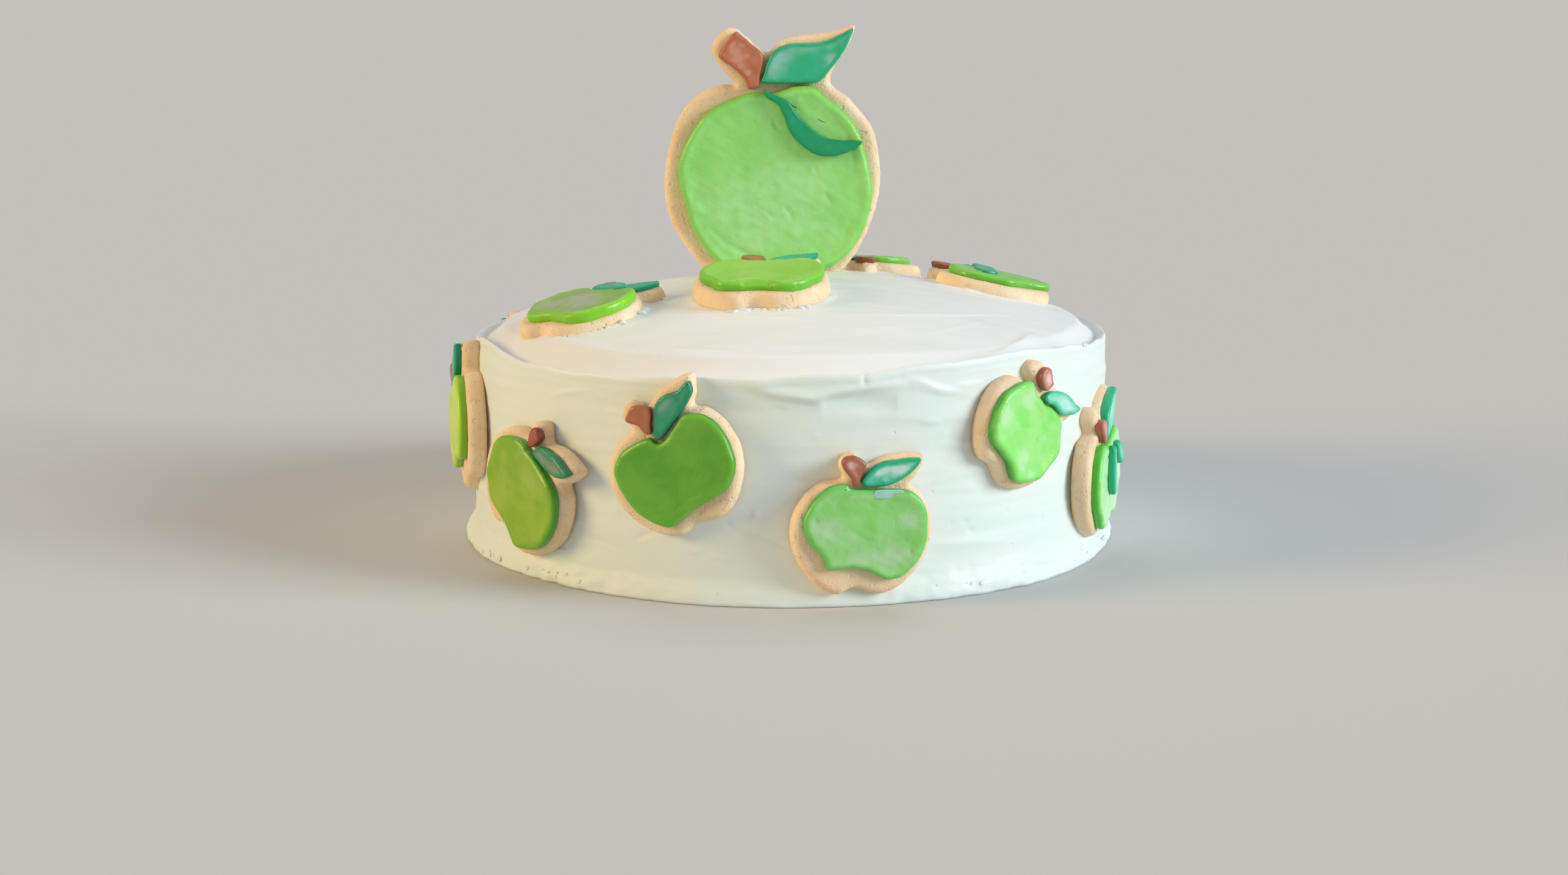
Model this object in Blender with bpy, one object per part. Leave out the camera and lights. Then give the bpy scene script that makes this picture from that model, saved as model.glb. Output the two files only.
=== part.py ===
"""Layer cake with iced apple biscuits: its construction, in metres, +Z up.

The frosted cake is one solid. Eleven small biscuits lean on its side, four lie on its top and a
large one stands in it. Azimuths are in degrees from the front, -Y, turning towards +X.
"""
import math
import random
from collections import namedtuple

import bmesh
import bpy
from mathutils import Matrix, Vector
from mathutils.geometry import tessellate_polygon

MM = 0.001

# The frosted cake
RADIUS_TOP = 0.1200
RADIUS_BASE = 0.1218
DOME_HEIGHT = 0.0984
DOME_FALL_X = 1.40
DOME_FALL_Y = 1.36
DOME_SLOPE_X = 0.0081
DOME_SLOPE_Y = -0.0256
LIP_WIDTH = 0.0030
LIP_DROP = 0.0014
SEGMENTS = 64
RIM_HEIGHTS = (
    (-90, 0.0760), (-69, 0.0798), (-53, 0.0772), (-32, 0.0773), (-10, 0.0790), (11, 0.0808),
    (27, 0.0827), (40, 0.0838), (55, 0.0820), (68, 0.0795), (90, 0.0777), (130, 0.0762),
    (175, 0.0750), (225, 0.0752),
)
FOOT_HEIGHT = 0.0090
FOOT_REACHES = (
    (-90, 0.0036), (-70, 0.0028), (-45, 0.0014), (-15, 0.0022), (15, 0.0016), (45, 0.0024),
    (70, 0.0012), (100, 0.0026), (135, 0.0014), (170, 0.0030), (205, 0.0016), (240, 0.0028),
)
WALL_STEPS = (0.0, 0.0025, 0.0060, 0.0095, 0.0140, 0.0260, 0.0410, 0.0560, 0.0690)
TOP_RADII = (0.1135, 0.1040, 0.0910, 0.0760, 0.0600, 0.0440, 0.0280, 0.0130)

# The biscuits and their icing
BISCUIT_THICK = 0.0070
BISCUIT_ROUND = 0.0008
ICING_THICK = 0.0031
SPRIG_THICK = 0.0026
LARGE_BISCUIT_THICK = 0.0082
LARGE_ICING_THICK = 0.0044
TOUCH_GAP = 0.0003

# Outlines in millimetres about the middle of the apple's body, stem up
SMALL_BISCUIT = (
    (-6.6, 19.4), (-7.6, 24.2), (-5.4, 27.2), (-2.2, 27.6), (1.4, 23.6), (7.4, 25.8),
    (13.5, 27.0), (20.6, 26.2), (18.8, 20.6), (16.2, 16.8), (20.0, 13.4), (23.0, 6.6),
    (23.2, -1.8), (20.6, -8.6), (15.6, -14.9), (9.6, -18.8), (4.4, -19.4), (-2.8, -17.4),
    (-8.4, -19.1), (-14.6, -16.2), (-20.2, -9.6), (-23.2, -1.6), (-23.0, 6.2), (-19.4, 13.2),
    (-13.6, 17.8),
)
SMALL_ICING = (
    (-2.4, 14.4), (-5.1, 16.2), (-8.6, 16.2), (-13.2, 13.8), (-17.0, 9.0), (-19.2, 3.4),
    (-18.6, -2.0), (-15.6, -7.4), (-12.6, -12.6), (-7.6, -14.3), (-1.2, -13.8), (4.3, -14.8),
    (9.4, -16.4), (14.8, -14.2), (18.9, -9.2), (21.6, -4.0), (22.4, 3.0), (21.0, 9.6),
    (17.6, 13.6), (13.4, 14.4), (8.2, 13.6), (2.4, 13.6),
)
SMALL_STEM = (
    (-2.6, 14.9), (-3.6, 18.2), (-6.8, 22.2), (-6.6, 25.8), (-3.6, 27.0), (-0.4, 26.0),
    (1.6, 22.0), (0.7, 17.6), (0.6, 14.9),
)
SMALL_LEAF = (
    (1.4, 15.3), (2.3, 18.4), (4.7, 21.6), (9.4, 23.8), (15.0, 25.0), (19.8, 25.6),
    (18.2, 21.6), (14.6, 18.0), (10.4, 15.6), (5.6, 14.9),
)
# Outlines of the side biscuits that are shaped on their own, numbered as the biscuits are
ICING_1 = (
    (-1.2, 14.9), (-6.0, 15.6), (-12.0, 15.2), (-16.5, 13.0), (-19.2, 9.0), (-19.8, 3.0),
    (-18.8, -4.0), (-16.0, -9.8), (-12.6, -13.8), (-9.6, -15.6), (-4.6, -15.0), (1.0, -13.8),
    (8.0, -13.6), (15.0, -12.8), (19.8, -9.8), (22.6, -5.6), (23.6, -0.6), (23.8, 4.6),
    (22.6, 9.6), (19.8, 13.4), (15.8, 15.9), (12.8, 15.9), (8.6, 13.8), (3.6, 11.7), (0.2, 12.0),
)
STEM_1 = (
    (-0.8, 15.8), (-2.2, 17.4), (-2.8, 20.4), (-5.6, 22.8), (-5.8, 24.4), (-3.6, 26.0),
    (-1.0, 27.0), (2.0, 26.0), (4.2, 23.6), (3.4, 21.2), (1.6, 18.4), (0.4, 16.0),
)
LEAF_1 = (
    (0.6, 12.9), (0.6, 14.8), (2.4, 17.6), (4.4, 20.8), (5.4, 22.8), (7.8, 24.6), (10.6, 25.3),
    (13.4, 24.9), (16.2, 24.5), (19.0, 25.3), (21.6, 25.3), (21.0, 22.0), (18.2, 19.8),
    (14.0, 17.4), (8.4, 14.9), (3.4, 12.8),
)
ICING_2 = (
    (-4.6, 17.8), (-5.8, 19.0), (-8.0, 19.5), (-12.0, 18.6), (-15.4, 16.2), (-18.8, 12.6),
    (-21.0, 8.0), (-20.9, 3.8), (-19.0, -0.8), (-15.8, -4.0), (-13.9, -7.2), (-12.6, -10.2),
    (-8.4, -10.2), (-3.4, -10.2), (1.0, -11.2), (4.8, -13.2), (8.0, -14.4), (12.2, -14.0),
    (15.4, -12.0), (19.0, -8.0), (21.5, -3.0), (22.1, 2.0), (21.9, 8.0), (20.0, 12.8),
    (17.0, 15.6), (13.0, 16.8), (8.0, 17.2), (2.0, 17.2),
)
STEM_2 = (
    (-3.9, 18.9), (-4.4, 20.8), (-7.0, 24.2), (-8.0, 26.8), (-6.8, 28.6), (-4.4, 29.2),
    (-2.2, 28.6), (0.0, 27.0), (0.6, 25.2), (-0.8, 22.6), (-1.7, 20.6), (-2.0, 19.0),
)
LEAF_2 = (
    (-0.6, 19.0), (-1.0, 20.4), (0.8, 23.0), (4.0, 25.6), (7.2, 26.8), (11.6, 27.2),
    (15.6, 27.6), (19.6, 27.3), (18.6, 24.8), (15.4, 21.8), (11.4, 19.4), (7.6, 18.3),
    (3.4, 18.1), (0.6, 18.2),
)
BISCUIT_3 = (
    (-9.0, 15.4), (-13.2, 17.4), (-13.8, 20.8), (-11.4, 23.8), (-7.6, 25.2), (-3.2, 24.2),
    (0.6, 22.2), (6.9, 24.4), (12.6, 25.4), (18.0, 24.6), (17.0, 19.4), (15.1, 15.6),
    (18.6, 12.5), (21.4, 6.1), (21.6, -1.7), (19.2, -8.0), (14.5, -13.9), (8.9, -17.5),
    (4.1, -18.0), (-2.6, -16.4), (-7.8, -17.8), (-13.6, -15.3), (-18.8, -9.2), (-21.6, -1.5),
    (-21.2, 5.8), (-17.4, 11.8),
)
ICING_3 = (
    (-19.8, -4.0), (-20.0, 2.0), (-18.4, 6.6), (-16.2, 10.2), (-14.0, 12.8), (-11.8, 14.0),
    (-9.8, 13.4), (-7.6, 12.4), (-4.6, 12.6), (-1.4, 12.6), (3.0, 14.4), (7.6, 14.8),
    (11.2, 13.6), (13.8, 10.8), (17.2, 7.6), (18.2, 3.6), (17.2, -1.6), (16.4, -7.0),
    (13.2, -11.0), (9.4, -14.2), (5.8, -16.0), (3.0, -15.2), (-1.0, -13.8), (-7.4, -13.6),
    (-13.0, -13.6), (-16.4, -11.2), (-18.2, -8.0),
)
STEM_3 = (
    (-10.2, 19.6), (-9.9, 22.4), (-7.8, 23.6), (-5.8, 23.0), (-3.8, 21.6), (-2.2, 20.6),
    (-2.8, 18.4), (-3.8, 16.6), (-6.6, 16.4), (-9.2, 17.6),
)
LEAF_3 = (
    (-2.2, 14.2), (-2.6, 15.6), (-1.4, 18.0), (0.6, 20.0), (3.6, 22.2), (7.4, 23.5),
    (12.0, 23.9), (15.8, 24.2), (15.0, 21.0), (12.2, 18.4), (9.4, 16.2), (6.0, 15.8),
    (3.0, 15.5), (0.4, 14.2),
)
STEM_4 = (
    (-3.6, 15.2), (-4.4, 17.8), (-6.8, 21.0), (-6.8, 23.6), (-4.6, 24.8), (-2.0, 23.8),
    (-0.8, 20.8), (-1.4, 17.6), (-1.6, 15.2),
)
LEAF_4 = (
    (0.2, 15.2), (0.4, 19.0), (2.4, 23.4), (7.0, 26.2), (14.0, 27.6), (20.8, 27.0),
    (19.2, 22.0), (17.0, 18.6), (12.0, 15.8), (6.0, 15.1),
)
ICING_6 = (
    (-1.6, 18.9), (-4.2, 19.5), (-7.8, 19.3), (-11.0, 17.8), (-14.6, 15.4), (-17.6, 12.0),
    (-18.8, 7.6), (-18.4, 1.0), (-17.4, -3.6), (-14.8, -6.8), (-12.4, -9.8), (-8.6, -11.6),
    (-3.0, -12.2), (2.6, -13.2), (6.0, -14.8), (9.2, -16.2), (12.2, -15.2), (15.6, -12.4),
    (19.6, -9.2), (22.2, -5.0), (23.3, 0.4), (23.3, 5.6), (21.4, 10.8), (19.2, 14.2),
    (16.0, 16.4), (12.0, 17.8), (6.0, 18.7), (2.0, 19.0),
)
STEM_6 = (
    (-2.2, 20.6), (-3.2, 22.8), (-3.8, 25.4), (-3.4, 28.0), (-1.6, 29.2), (0.6, 28.4),
    (2.0, 26.6), (1.2, 24.2), (-0.2, 22.0),
)
LEAF_6 = (
    (0.6, 20.2), (1.3, 22.0), (2.6, 23.9), (4.4, 25.6), (8.4, 26.8), (13.0, 27.6),
    (18.0, 27.4), (21.4, 27.1), (20.4, 25.0), (18.2, 22.8), (14.8, 21.0), (10.0, 20.0),
    (5.0, 19.7), (2.0, 19.8),
)
LARGE_BISCUIT = (
    (-14.3, 40.4), (-20.0, 46.6), (-23.6, 53.4), (-20.6, 59.2), (-15.0, 61.8), (-9.7, 58.0),
    (-2.4, 52.4), (3.1, 56.8), (11.0, 58.8), (22.7, 60.2), (31.6, 62.6), (28.8, 54.4),
    (24.0, 47.2), (22.6, 40.4), (30.0, 34.4), (38.6, 23.4), (41.2, 13.0), (41.8, 0.5),
    (38.9, -11.6), (33.6, -23.9), (27.6, -31.4), (19.6, -37.6), (10.0, -39.8), (0.4, -36.6),
    (-9.6, -39.6), (-19.0, -37.4), (-27.3, -31.0), (-35.5, -20.2), (-40.2, -11.0),
    (-41.8, -2.6), (-41.6, 7.4), (-38.9, 20.4), (-34.2, 30.6), (-26.6, 37.4), (-19.2, 40.0),
)
LARGE_ICING = (
    (-7.2, 37.6), (-16.2, 34.6), (-25.8, 28.8), (-33.0, 19.0), (-36.4, 7.2), (-34.0, -4.6),
    (-31.0, -14.6), (-24.6, -24.6), (-18.2, -30.2), (-9.0, -33.0), (0.6, -31.4), (10.4, -33.2),
    (19.6, -31.0), (27.6, -26.6), (33.6, -19.2), (37.6, -8.6), (38.6, 0.6), (36.4, 12.0),
    (33.4, 21.8), (27.6, 29.8), (20.2, 36.0), (15.4, 39.8), (8.0, 39.6), (1.0, 37.4),
)
LARGE_STEM = (
    (-9.2, 38.8), (-10.6, 42.4), (-14.6, 46.4), (-20.4, 50.8), (-19.0, 54.4), (-14.4, 60.2),
    (-12.4, 59.6), (-8.6, 56.4), (-3.8, 52.2), (-3.6, 48.4), (-4.6, 44.0), (-5.4, 39.4),
)
LARGE_LEAF = (
    (-3.8, 41.2), (-3.2, 45.0), (-2.2, 48.8), (0.2, 52.6), (3.8, 55.2), (8.4, 56.2),
    (14.4, 56.2), (21.0, 57.2), (26.0, 59.4), (31.0, 61.6), (29.2, 56.4), (26.4, 51.4),
    (22.6, 46.4), (18.4, 41.8), (13.6, 41.0), (6.0, 40.7),
)
LARGE_LOW_LEAF = (
    (-3.2, 38.8), (0.6, 36.8), (6.0, 34.4), (9.8, 29.4), (14.0, 25.2), (19.4, 20.9),
    (26.0, 19.5), (34.6, 19.0), (30.0, 15.2), (22.0, 13.2), (14.6, 15.0), (7.4, 21.6),
    (4.5, 28.4), (2.2, 33.0), (-1.8, 35.4),
)
STRIP_LONG = (
    (-2.5, 12.2), (-4.1, 4.4), (-4.3, -3.6), (-2.1, -6.2), (1.1, -5.0), (1.3, 4.4), (1.1, 11.8),
)
STRIP_SHORT = (
    (6.0, 10.4), (7.4, 5.2), (12.0, 0.0), (15.8, 0.8), (14.6, 5.6), (10.2, 10.4),
)

# Biscuits on the side: azimuth, height of the middle, turn of the stem, how far the face swings
# from the azimuth, all in degrees and metres, then how deep it is pressed in and its size
SideBiscuit = namedtuple("SideBiscuit", "azimuth height turn swing press size")
SEEN_SIDE_BISCUITS = (
    SideBiscuit(-18.2, 0.0464, 30, 0, 0.0010, 1.05),
    SideBiscuit(11.2, 0.0250, 0, 0, 0.0010, 1.05),
    SideBiscuit(40.3, 0.0554, -46, 5, 0.0022, 0.93),
    SideBiscuit(66.7, 0.0302, 14, 7, 0.0036, 1.05),
    SideBiscuit(-77.0, 0.0433, 32, -1, 0.0014, 1.05),
    SideBiscuit(-49.4, 0.0311, -31, 0, 0.0010, 1.05),
)
BACK_SIDE_BISCUITS = (
    SideBiscuit(119.0, 0.0466, -12, 0, 0.0012, 0.98),
    SideBiscuit(149.0, 0.0272, 24, 0, 0.0010, 1.02),
    SideBiscuit(179.0, 0.0490, 5, 0, 0.0014, 1.00),
    SideBiscuit(209.0, 0.0262, -20, 0, 0.0010, 0.97),
    SideBiscuit(239.0, 0.0452, 16, 0, 0.0012, 1.00),
)
STRIPPED_BISCUIT = 4
# Biscuits on the top: across, along, turn in degrees seen from above, size, how far the face
# tips to the front in degrees, thickness and how deep it is pressed in
TopBiscuit = namedtuple("TopBiscuit", "across along turn size tip thick press")
TOP_BISCUITS = (
    TopBiscuit(-0.0106, -0.0440, 0, 1.07, 2.0, 0.0080, 0.0014),
    TopBiscuit(-0.0778, -0.0445, -36, 1.01, 0.5, 0.0070, 0.0030),
    TopBiscuit(0.0790, 0.0180, 54, 1.02, 1.5, 0.0070, 0.0026),
    TopBiscuit(0.0290, 0.0575, 173, 1.00, 2.5, 0.0070, 0.0026),
)
WIDE_ICED_BISCUIT = 1
BACK_SPRIG_DROP = 2.2
LARGE_ACROSS = -0.0072
LARGE_FRONT = 0.0210
LARGE_MIDDLE_HEIGHT = 0.1290

# Colours in linear light
FROSTING = (0.78, 0.84, 0.79)
BISCUIT = (0.80, 0.56, 0.32)
GREEN_ICING = (0.19, 0.56, 0.12)
BROWN_ICING = (0.32, 0.10, 0.06)
TEAL_ICING = (0.02, 0.34, 0.18)
VARIATION_SEED = 41


def clear_scene():
    """Remove every object of the open file."""
    for thing in list(bpy.data.objects):
        bpy.data.objects.remove(thing, do_unlink=True)


def plain_material(name, colour, roughness):
    """A Principled material of one colour."""
    made = bpy.data.materials.new(name)
    made.use_nodes = True
    shader = made.node_tree.nodes["Principled BSDF"]
    shader.inputs["Base Color"].default_value = (*colour, 1.0)
    shader.inputs["Roughness"].default_value = roughness
    shader.inputs["Metallic"].default_value = 0.0
    return made


def key_curve(keys, azimuth):
    """A smooth closed curve through (azimuth, value) keys."""
    start = keys[0][0]
    turned = start + (azimuth - start) % 360
    count = len(keys)
    for index in range(count):
        here = keys[index]
        after = keys[(index + 1) % count]
        end = after[0] if index + 1 < count else start + 360
        if turned <= end:
            share = (turned - here[0]) / (end - here[0])
            eased = share * share * (3 - 2 * share)
            return here[1] + (after[1] - here[1]) * eased
    return keys[0][1]


def dome_height(across, along):
    """Height of the frosting on top of the cake."""
    slopes = DOME_SLOPE_X * across + DOME_SLOPE_Y * along
    falls = DOME_FALL_X * across ** 2 + DOME_FALL_Y * along ** 2
    return DOME_HEIGHT + slopes - falls


def dome_normal(across, along):
    """Upward normal of the frosting on top of the cake."""
    slope_x = DOME_SLOPE_X - 2 * DOME_FALL_X * across
    slope_y = DOME_SLOPE_Y - 2 * DOME_FALL_Y * along
    return Vector((-slope_x, -slope_y, 1.0)).normalized()


def wall_radius(azimuth, height):
    """Radius of the frosted wall, with the thicker foot that the spatula left."""
    share = min(height / key_curve(RIM_HEIGHTS, azimuth), 1.0)
    plain = RADIUS_BASE + (RADIUS_TOP - RADIUS_BASE) * share
    low = min(height / FOOT_HEIGHT, 1.0)
    foot = key_curve(FOOT_REACHES, azimuth) * (1 - low) ** 1.5 * (1 + 2.2 * low)
    return plain + foot


def around(azimuth, radius, height):
    """A point of the cake at an azimuth, radius and height."""
    angle = math.radians(azimuth)
    return Vector((radius * math.sin(angle), -radius * math.cos(angle), height))


def top_height(azimuth, radius):
    """Height of the top inside the lip, where the dome runs out to the rim."""
    place = around(azimuth, radius, 0)
    rim = key_curve(RIM_HEIGHTS, azimuth) - LIP_DROP
    inner = RADIUS_TOP - 3.5 * LIP_WIDTH
    share = max(0.0, min(1.0, (radius - inner) / (2.5 * LIP_WIDTH)))
    return dome_height(place.x, place.y) * (1 - share) + rim * share


def cake_column(azimuth):
    """The cake's points at one azimuth, from the base over the rim towards the middle."""
    rim = key_curve(RIM_HEIGHTS, azimuth)
    column = [around(azimuth, wall_radius(azimuth, step), step) for step in WALL_STEPS]
    column.append(around(azimuth, RADIUS_TOP + 0.0002, rim - 0.0030))
    column.append(around(azimuth, RADIUS_TOP, rim - 0.0008))
    column.append(around(azimuth, RADIUS_TOP - 0.0008, rim))
    column.append(around(azimuth, RADIUS_TOP - 0.0018, rim - 0.0005))
    column.append(around(azimuth, RADIUS_TOP - LIP_WIDTH, top_height(azimuth, RADIUS_TOP - LIP_WIDTH)))
    column.extend(around(azimuth, radius, top_height(azimuth, radius)) for radius in TOP_RADII)
    return column


def new_object(name, bm, material):
    """Turn a bmesh into a linked object."""
    bmesh.ops.recalc_face_normals(bm, faces=bm.faces)
    mesh = bpy.data.meshes.new(name)
    bm.to_mesh(mesh)
    bm.free()
    mesh.materials.append(material)
    made = bpy.data.objects.new(name, mesh)
    bpy.context.scene.collection.objects.link(made)
    mesh.shade_smooth()
    mesh.set_sharp_from_angle(angle=math.radians(35))
    return made


def bridge(bm, lower, upper):
    """Faces between two closed rings of the same length."""
    count = len(lower)
    for index in range(count):
        after = (index + 1) % count
        bm.faces.new((lower[index], lower[after], upper[after], upper[index]))


def make_cake(material):
    """The frosted cake as one closed solid, before the biscuits are pressed in."""
    bm = bmesh.new()
    columns = [cake_column(360 * index / SEGMENTS) for index in range(SEGMENTS)]
    rings = []
    for level in range(len(columns[0])):
        rings.append([bm.verts.new(column[level]) for column in columns])
    for lower, upper in zip(rings, rings[1:]):
        bridge(bm, lower, upper)
    crown = bm.verts.new((0.0, 0.0, dome_height(0, 0)))
    for index in range(SEGMENTS):
        bm.faces.new((rings[-1][index], rings[-1][(index + 1) % SEGMENTS], crown))
    bm.faces.new(list(reversed(rings[0])))
    return new_object("cake", bm, material)


def smooth_outline(points, steps):
    """A closed Catmull-Rom curve through the points, in the same unit."""
    count = len(points)
    curve = []
    for index in range(count):
        before, here = Vector(points[index - 1]), Vector(points[index])
        after, beyond = Vector(points[(index + 1) % count]), Vector(points[(index + 2) % count])
        for step in range(steps):
            t = step / steps
            bend = 2 * before - 5 * here + 4 * after - beyond
            twist = 3 * here - before - 3 * after + beyond
            curve.append(0.5 * (2 * here + (after - before) * t + bend * t * t + twist * t ** 3))
    return curve


def counter_clockwise(outline):
    """The outline in counter-clockwise order."""
    area = sum(a.cross(b) for a, b in zip(outline, outline[1:] + outline[:1]))
    return outline if area > 0 else list(reversed(outline))


def distance_across(outline, index, inward):
    """How far it is from a corner, along its inward normal, to the outline's other side."""
    start = outline[index]
    nearest = 1000.0
    for other in range(len(outline)):
        a, b = outline[other], outline[(other + 1) % len(outline)]
        side = b - a
        turn = inward.cross(side)
        if abs(turn) < 1e-9 or index in (other, (other + 1) % len(outline)):
            continue
        along = (a - start).cross(side) / turn
        share = (a - start).cross(inward) / turn
        if along > 0 and 0 <= share <= 1:
            nearest = min(nearest, along)
    return nearest


def inset_outline(outline, depth):
    """The outline moved inwards, by less where it is narrow, or outwards for a negative depth."""
    moved = []
    for index, here in enumerate(outline):
        before, after = outline[index - 1], outline[(index + 1) % len(outline)]
        side = (after - before).normalized()
        inward = Vector((-side.y, side.x))
        room = 0.28 * distance_across(outline, index, inward)
        moved.append(here + inward * min(depth, room))
    return moved


def cap(bm, ring, outline):
    """Fill a ring with triangles, worked out in the outline's own plane."""
    for corners in tessellate_polygon([[point.to_3d() for point in outline]]):
        bm.faces.new([ring[corner] for corner in corners])


def make_slab(name, points, levels, frame, material, steps=1):
    """A flat closed piece with an outline, lying on a frame's XY plane.

    The levels are (height, inset) pairs in metres from the back to the front.
    """
    outline = counter_clockwise(smooth_outline(points, steps))
    bm = bmesh.new()
    rings = []
    for height, inset in levels:
        ring = inset_outline(outline, inset / MM)
        rings.append([bm.verts.new(frame @ Vector((p.x * MM, p.y * MM, height))) for p in ring])
    for lower, upper in zip(rings, rings[1:]):
        bridge(bm, lower, upper)
    cap(bm, rings[0], inset_outline(outline, levels[0][1] / MM))
    cap(bm, rings[-1], inset_outline(outline, levels[-1][1] / MM))
    return new_object(name, bm, material)


def biscuit_levels(thick, rounding):
    """Levels of a biscuit with rounded edges."""
    return ((0.0, rounding), (0.3 * thick, 0.0), (0.72 * thick, 0.0), (thick, rounding))


def icing_levels(base, thick, rounding):
    """Levels of a puffed piece of icing that lies at a height."""
    return ((base, 0.25 * rounding), (base + 0.45 * thick, 0.0),
            (base + 0.85 * thick, 0.35 * rounding), (base + thick, rounding))


def sprig_levels(base, thick, rounding):
    """Levels of a stem or a leaf, with fewer sides."""
    return ((base, 0.0), (base + 0.6 * thick, 0.0), (base + thick, rounding))


def uneven(points, seed, amount):
    """Shift an icing outline's sides and foot a little, and leave its top as it is."""
    draw = random.Random(seed)
    phases = [draw.uniform(0, 2 * math.pi) for _ in range(3)]
    shifted = []
    for x, y in points:
        angle = math.atan2(y, x)
        wave = sum(math.sin((k + 2) * angle + phases[k]) / (k + 2) for k in range(3))
        free = max(0.0, min(1.0, (12.0 - y) / 8.0))
        scale = 1 + amount * wave * free
        shifted.append((x * scale, y * scale))
    return shifted


def side_frame(biscuit):
    """The frame of a biscuit that leans on the cake's side, with its back on the XY plane."""
    facing = math.radians(biscuit.azimuth + biscuit.swing)
    outward = Vector((math.sin(facing), -math.cos(facing), 0.0))
    right = Vector((math.cos(facing), math.sin(facing), 0.0))
    radius = wall_radius(biscuit.azimuth, biscuit.height) - biscuit.press
    place = around(biscuit.azimuth, radius, biscuit.height)
    return make_frame(place, right, Vector((0, 0, 1)), outward, biscuit.turn)


def top_frame(biscuit):
    """The frame of a biscuit that lies on the top, tilted with the dome and a little more."""
    across, along = biscuit.across, biscuit.along
    tip = Matrix.Rotation(math.radians(biscuit.tip), 3, "X")
    outward = tip @ dome_normal(across, along)
    right = Vector((0, 1, 0)).cross(outward).normalized()
    place = Vector((across, along, dome_height(across, along))) - outward * biscuit.press
    return make_frame(place, right, outward.cross(right), outward, biscuit.turn)


def large_frame():
    """The frame of the large biscuit, whose face looks to the front."""
    back = LARGE_FRONT + LARGE_BISCUIT_THICK
    place = Vector((LARGE_ACROSS, back, LARGE_MIDDLE_HEIGHT))
    return make_frame(place, Vector((1, 0, 0)), Vector((0, 0, 1)), Vector((0, -1, 0)), 0)


def make_frame(place, right, up, outward, turn):
    """A matrix from an origin and three axes, turned about the outward one."""
    axes = Matrix((right, up, outward)).transposed().to_4x4()
    return Matrix.Translation(place) @ axes @ Matrix.Rotation(math.radians(turn), 4, "Z")


def press_in(cake, points, back, front, frame, steps=1):
    """Cut the place of a piece into the frosting, with a hair of room round it."""
    levels = ((back - TOUCH_GAP, -TOUCH_GAP), (front + TOUCH_GAP, -TOUCH_GAP))
    cutter = make_slab("cutter", points, levels, frame, cake.data.materials[0], steps)
    cut = cake.modifiers.new("Place of a biscuit", "BOOLEAN")
    cut.operation = "DIFFERENCE"
    cut.solver = "MANIFOLD"
    cut.object = cutter
    with bpy.context.temp_override(object=cake, active_object=cake):
        bpy.ops.object.modifier_apply(modifier=cut.name)
    bpy.data.objects.remove(cutter, do_unlink=True)


def drop_scraps(made):
    """Keep an object's largest connected piece, without the slivers that a cut can leave."""
    bm = bmesh.new()
    bm.from_mesh(made.data)
    unseen = set(bm.verts)
    pieces = []
    while unseen:
        reached = {unseen.pop()}
        edge_of_search = list(reached)
        while edge_of_search:
            here = edge_of_search.pop()
            for edge in here.link_edges:
                other = edge.other_vert(here)
                if other not in reached:
                    reached.add(other)
                    edge_of_search.append(other)
        unseen -= reached
        pieces.append(reached)
    largest = max(pieces, key=len)
    scraps = [vert for vert in bm.verts if vert not in largest]
    bmesh.ops.delete(bm, geom=scraps, context="VERTS")
    bm.to_mesh(made.data)
    bm.free()


def sized(points, size, shift=(0, 0)):
    """An outline at a biscuit's size, shifted by some millimetres."""
    return tuple(((x + shift[0]) * size, (y + shift[1]) * size) for x, y in points)


Shapes = namedtuple("Shapes", "biscuit icing stem leaf")


def own_shapes(number, size):
    """The outlines of a seen side biscuit and of its icing."""
    plain = sized(SMALL_BISCUIT, size)
    own = {
        1: Shapes(plain, ICING_1, STEM_1, LEAF_1),
        2: Shapes(plain, ICING_2, STEM_2, LEAF_2),
        3: Shapes(BISCUIT_3, ICING_3, STEM_3, LEAF_3),
        4: Shapes(plain, sized(SMALL_ICING, size, (-1.4, -1.0)), STEM_4, LEAF_4),
        5: Shapes(plain, ICING_2, STEM_2, LEAF_2),
        6: Shapes(plain, ICING_6, STEM_6, LEAF_6),
    }
    return own[number]


def plain_shapes(size, seed, drop=0.0):
    """The outlines of a biscuit of the common shape, its icing a little different each time."""
    shift = (0, -drop)
    icing = uneven(sized(SMALL_ICING, size), seed, 0.07)
    return Shapes(sized(SMALL_BISCUIT, size), icing, sized(SMALL_STEM, size, shift),
                  sized(SMALL_LEAF, size, shift))


def make_small_biscuit(name, frame, shapes, thick, materials, cake):
    """A small apple biscuit, with its green icing, its stem and its leaf as pieces of their own."""
    base = thick + TOUCH_GAP
    make_slab(f"{name}_biscuit", shapes.biscuit, biscuit_levels(thick, BISCUIT_ROUND), frame,
              materials["biscuit"])
    make_slab(f"{name}_icing", shapes.icing, icing_levels(base, ICING_THICK, 0.0015), frame,
              materials["green"])
    make_slab(f"{name}_stem", shapes.stem, sprig_levels(base, SPRIG_THICK, 0.0010), frame,
              materials["brown"])
    make_slab(f"{name}_leaf", shapes.leaf, sprig_levels(base, SPRIG_THICK, 0.0010), frame,
              materials["teal"])
    press_in(cake, shapes.biscuit, 0, thick, frame)


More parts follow.
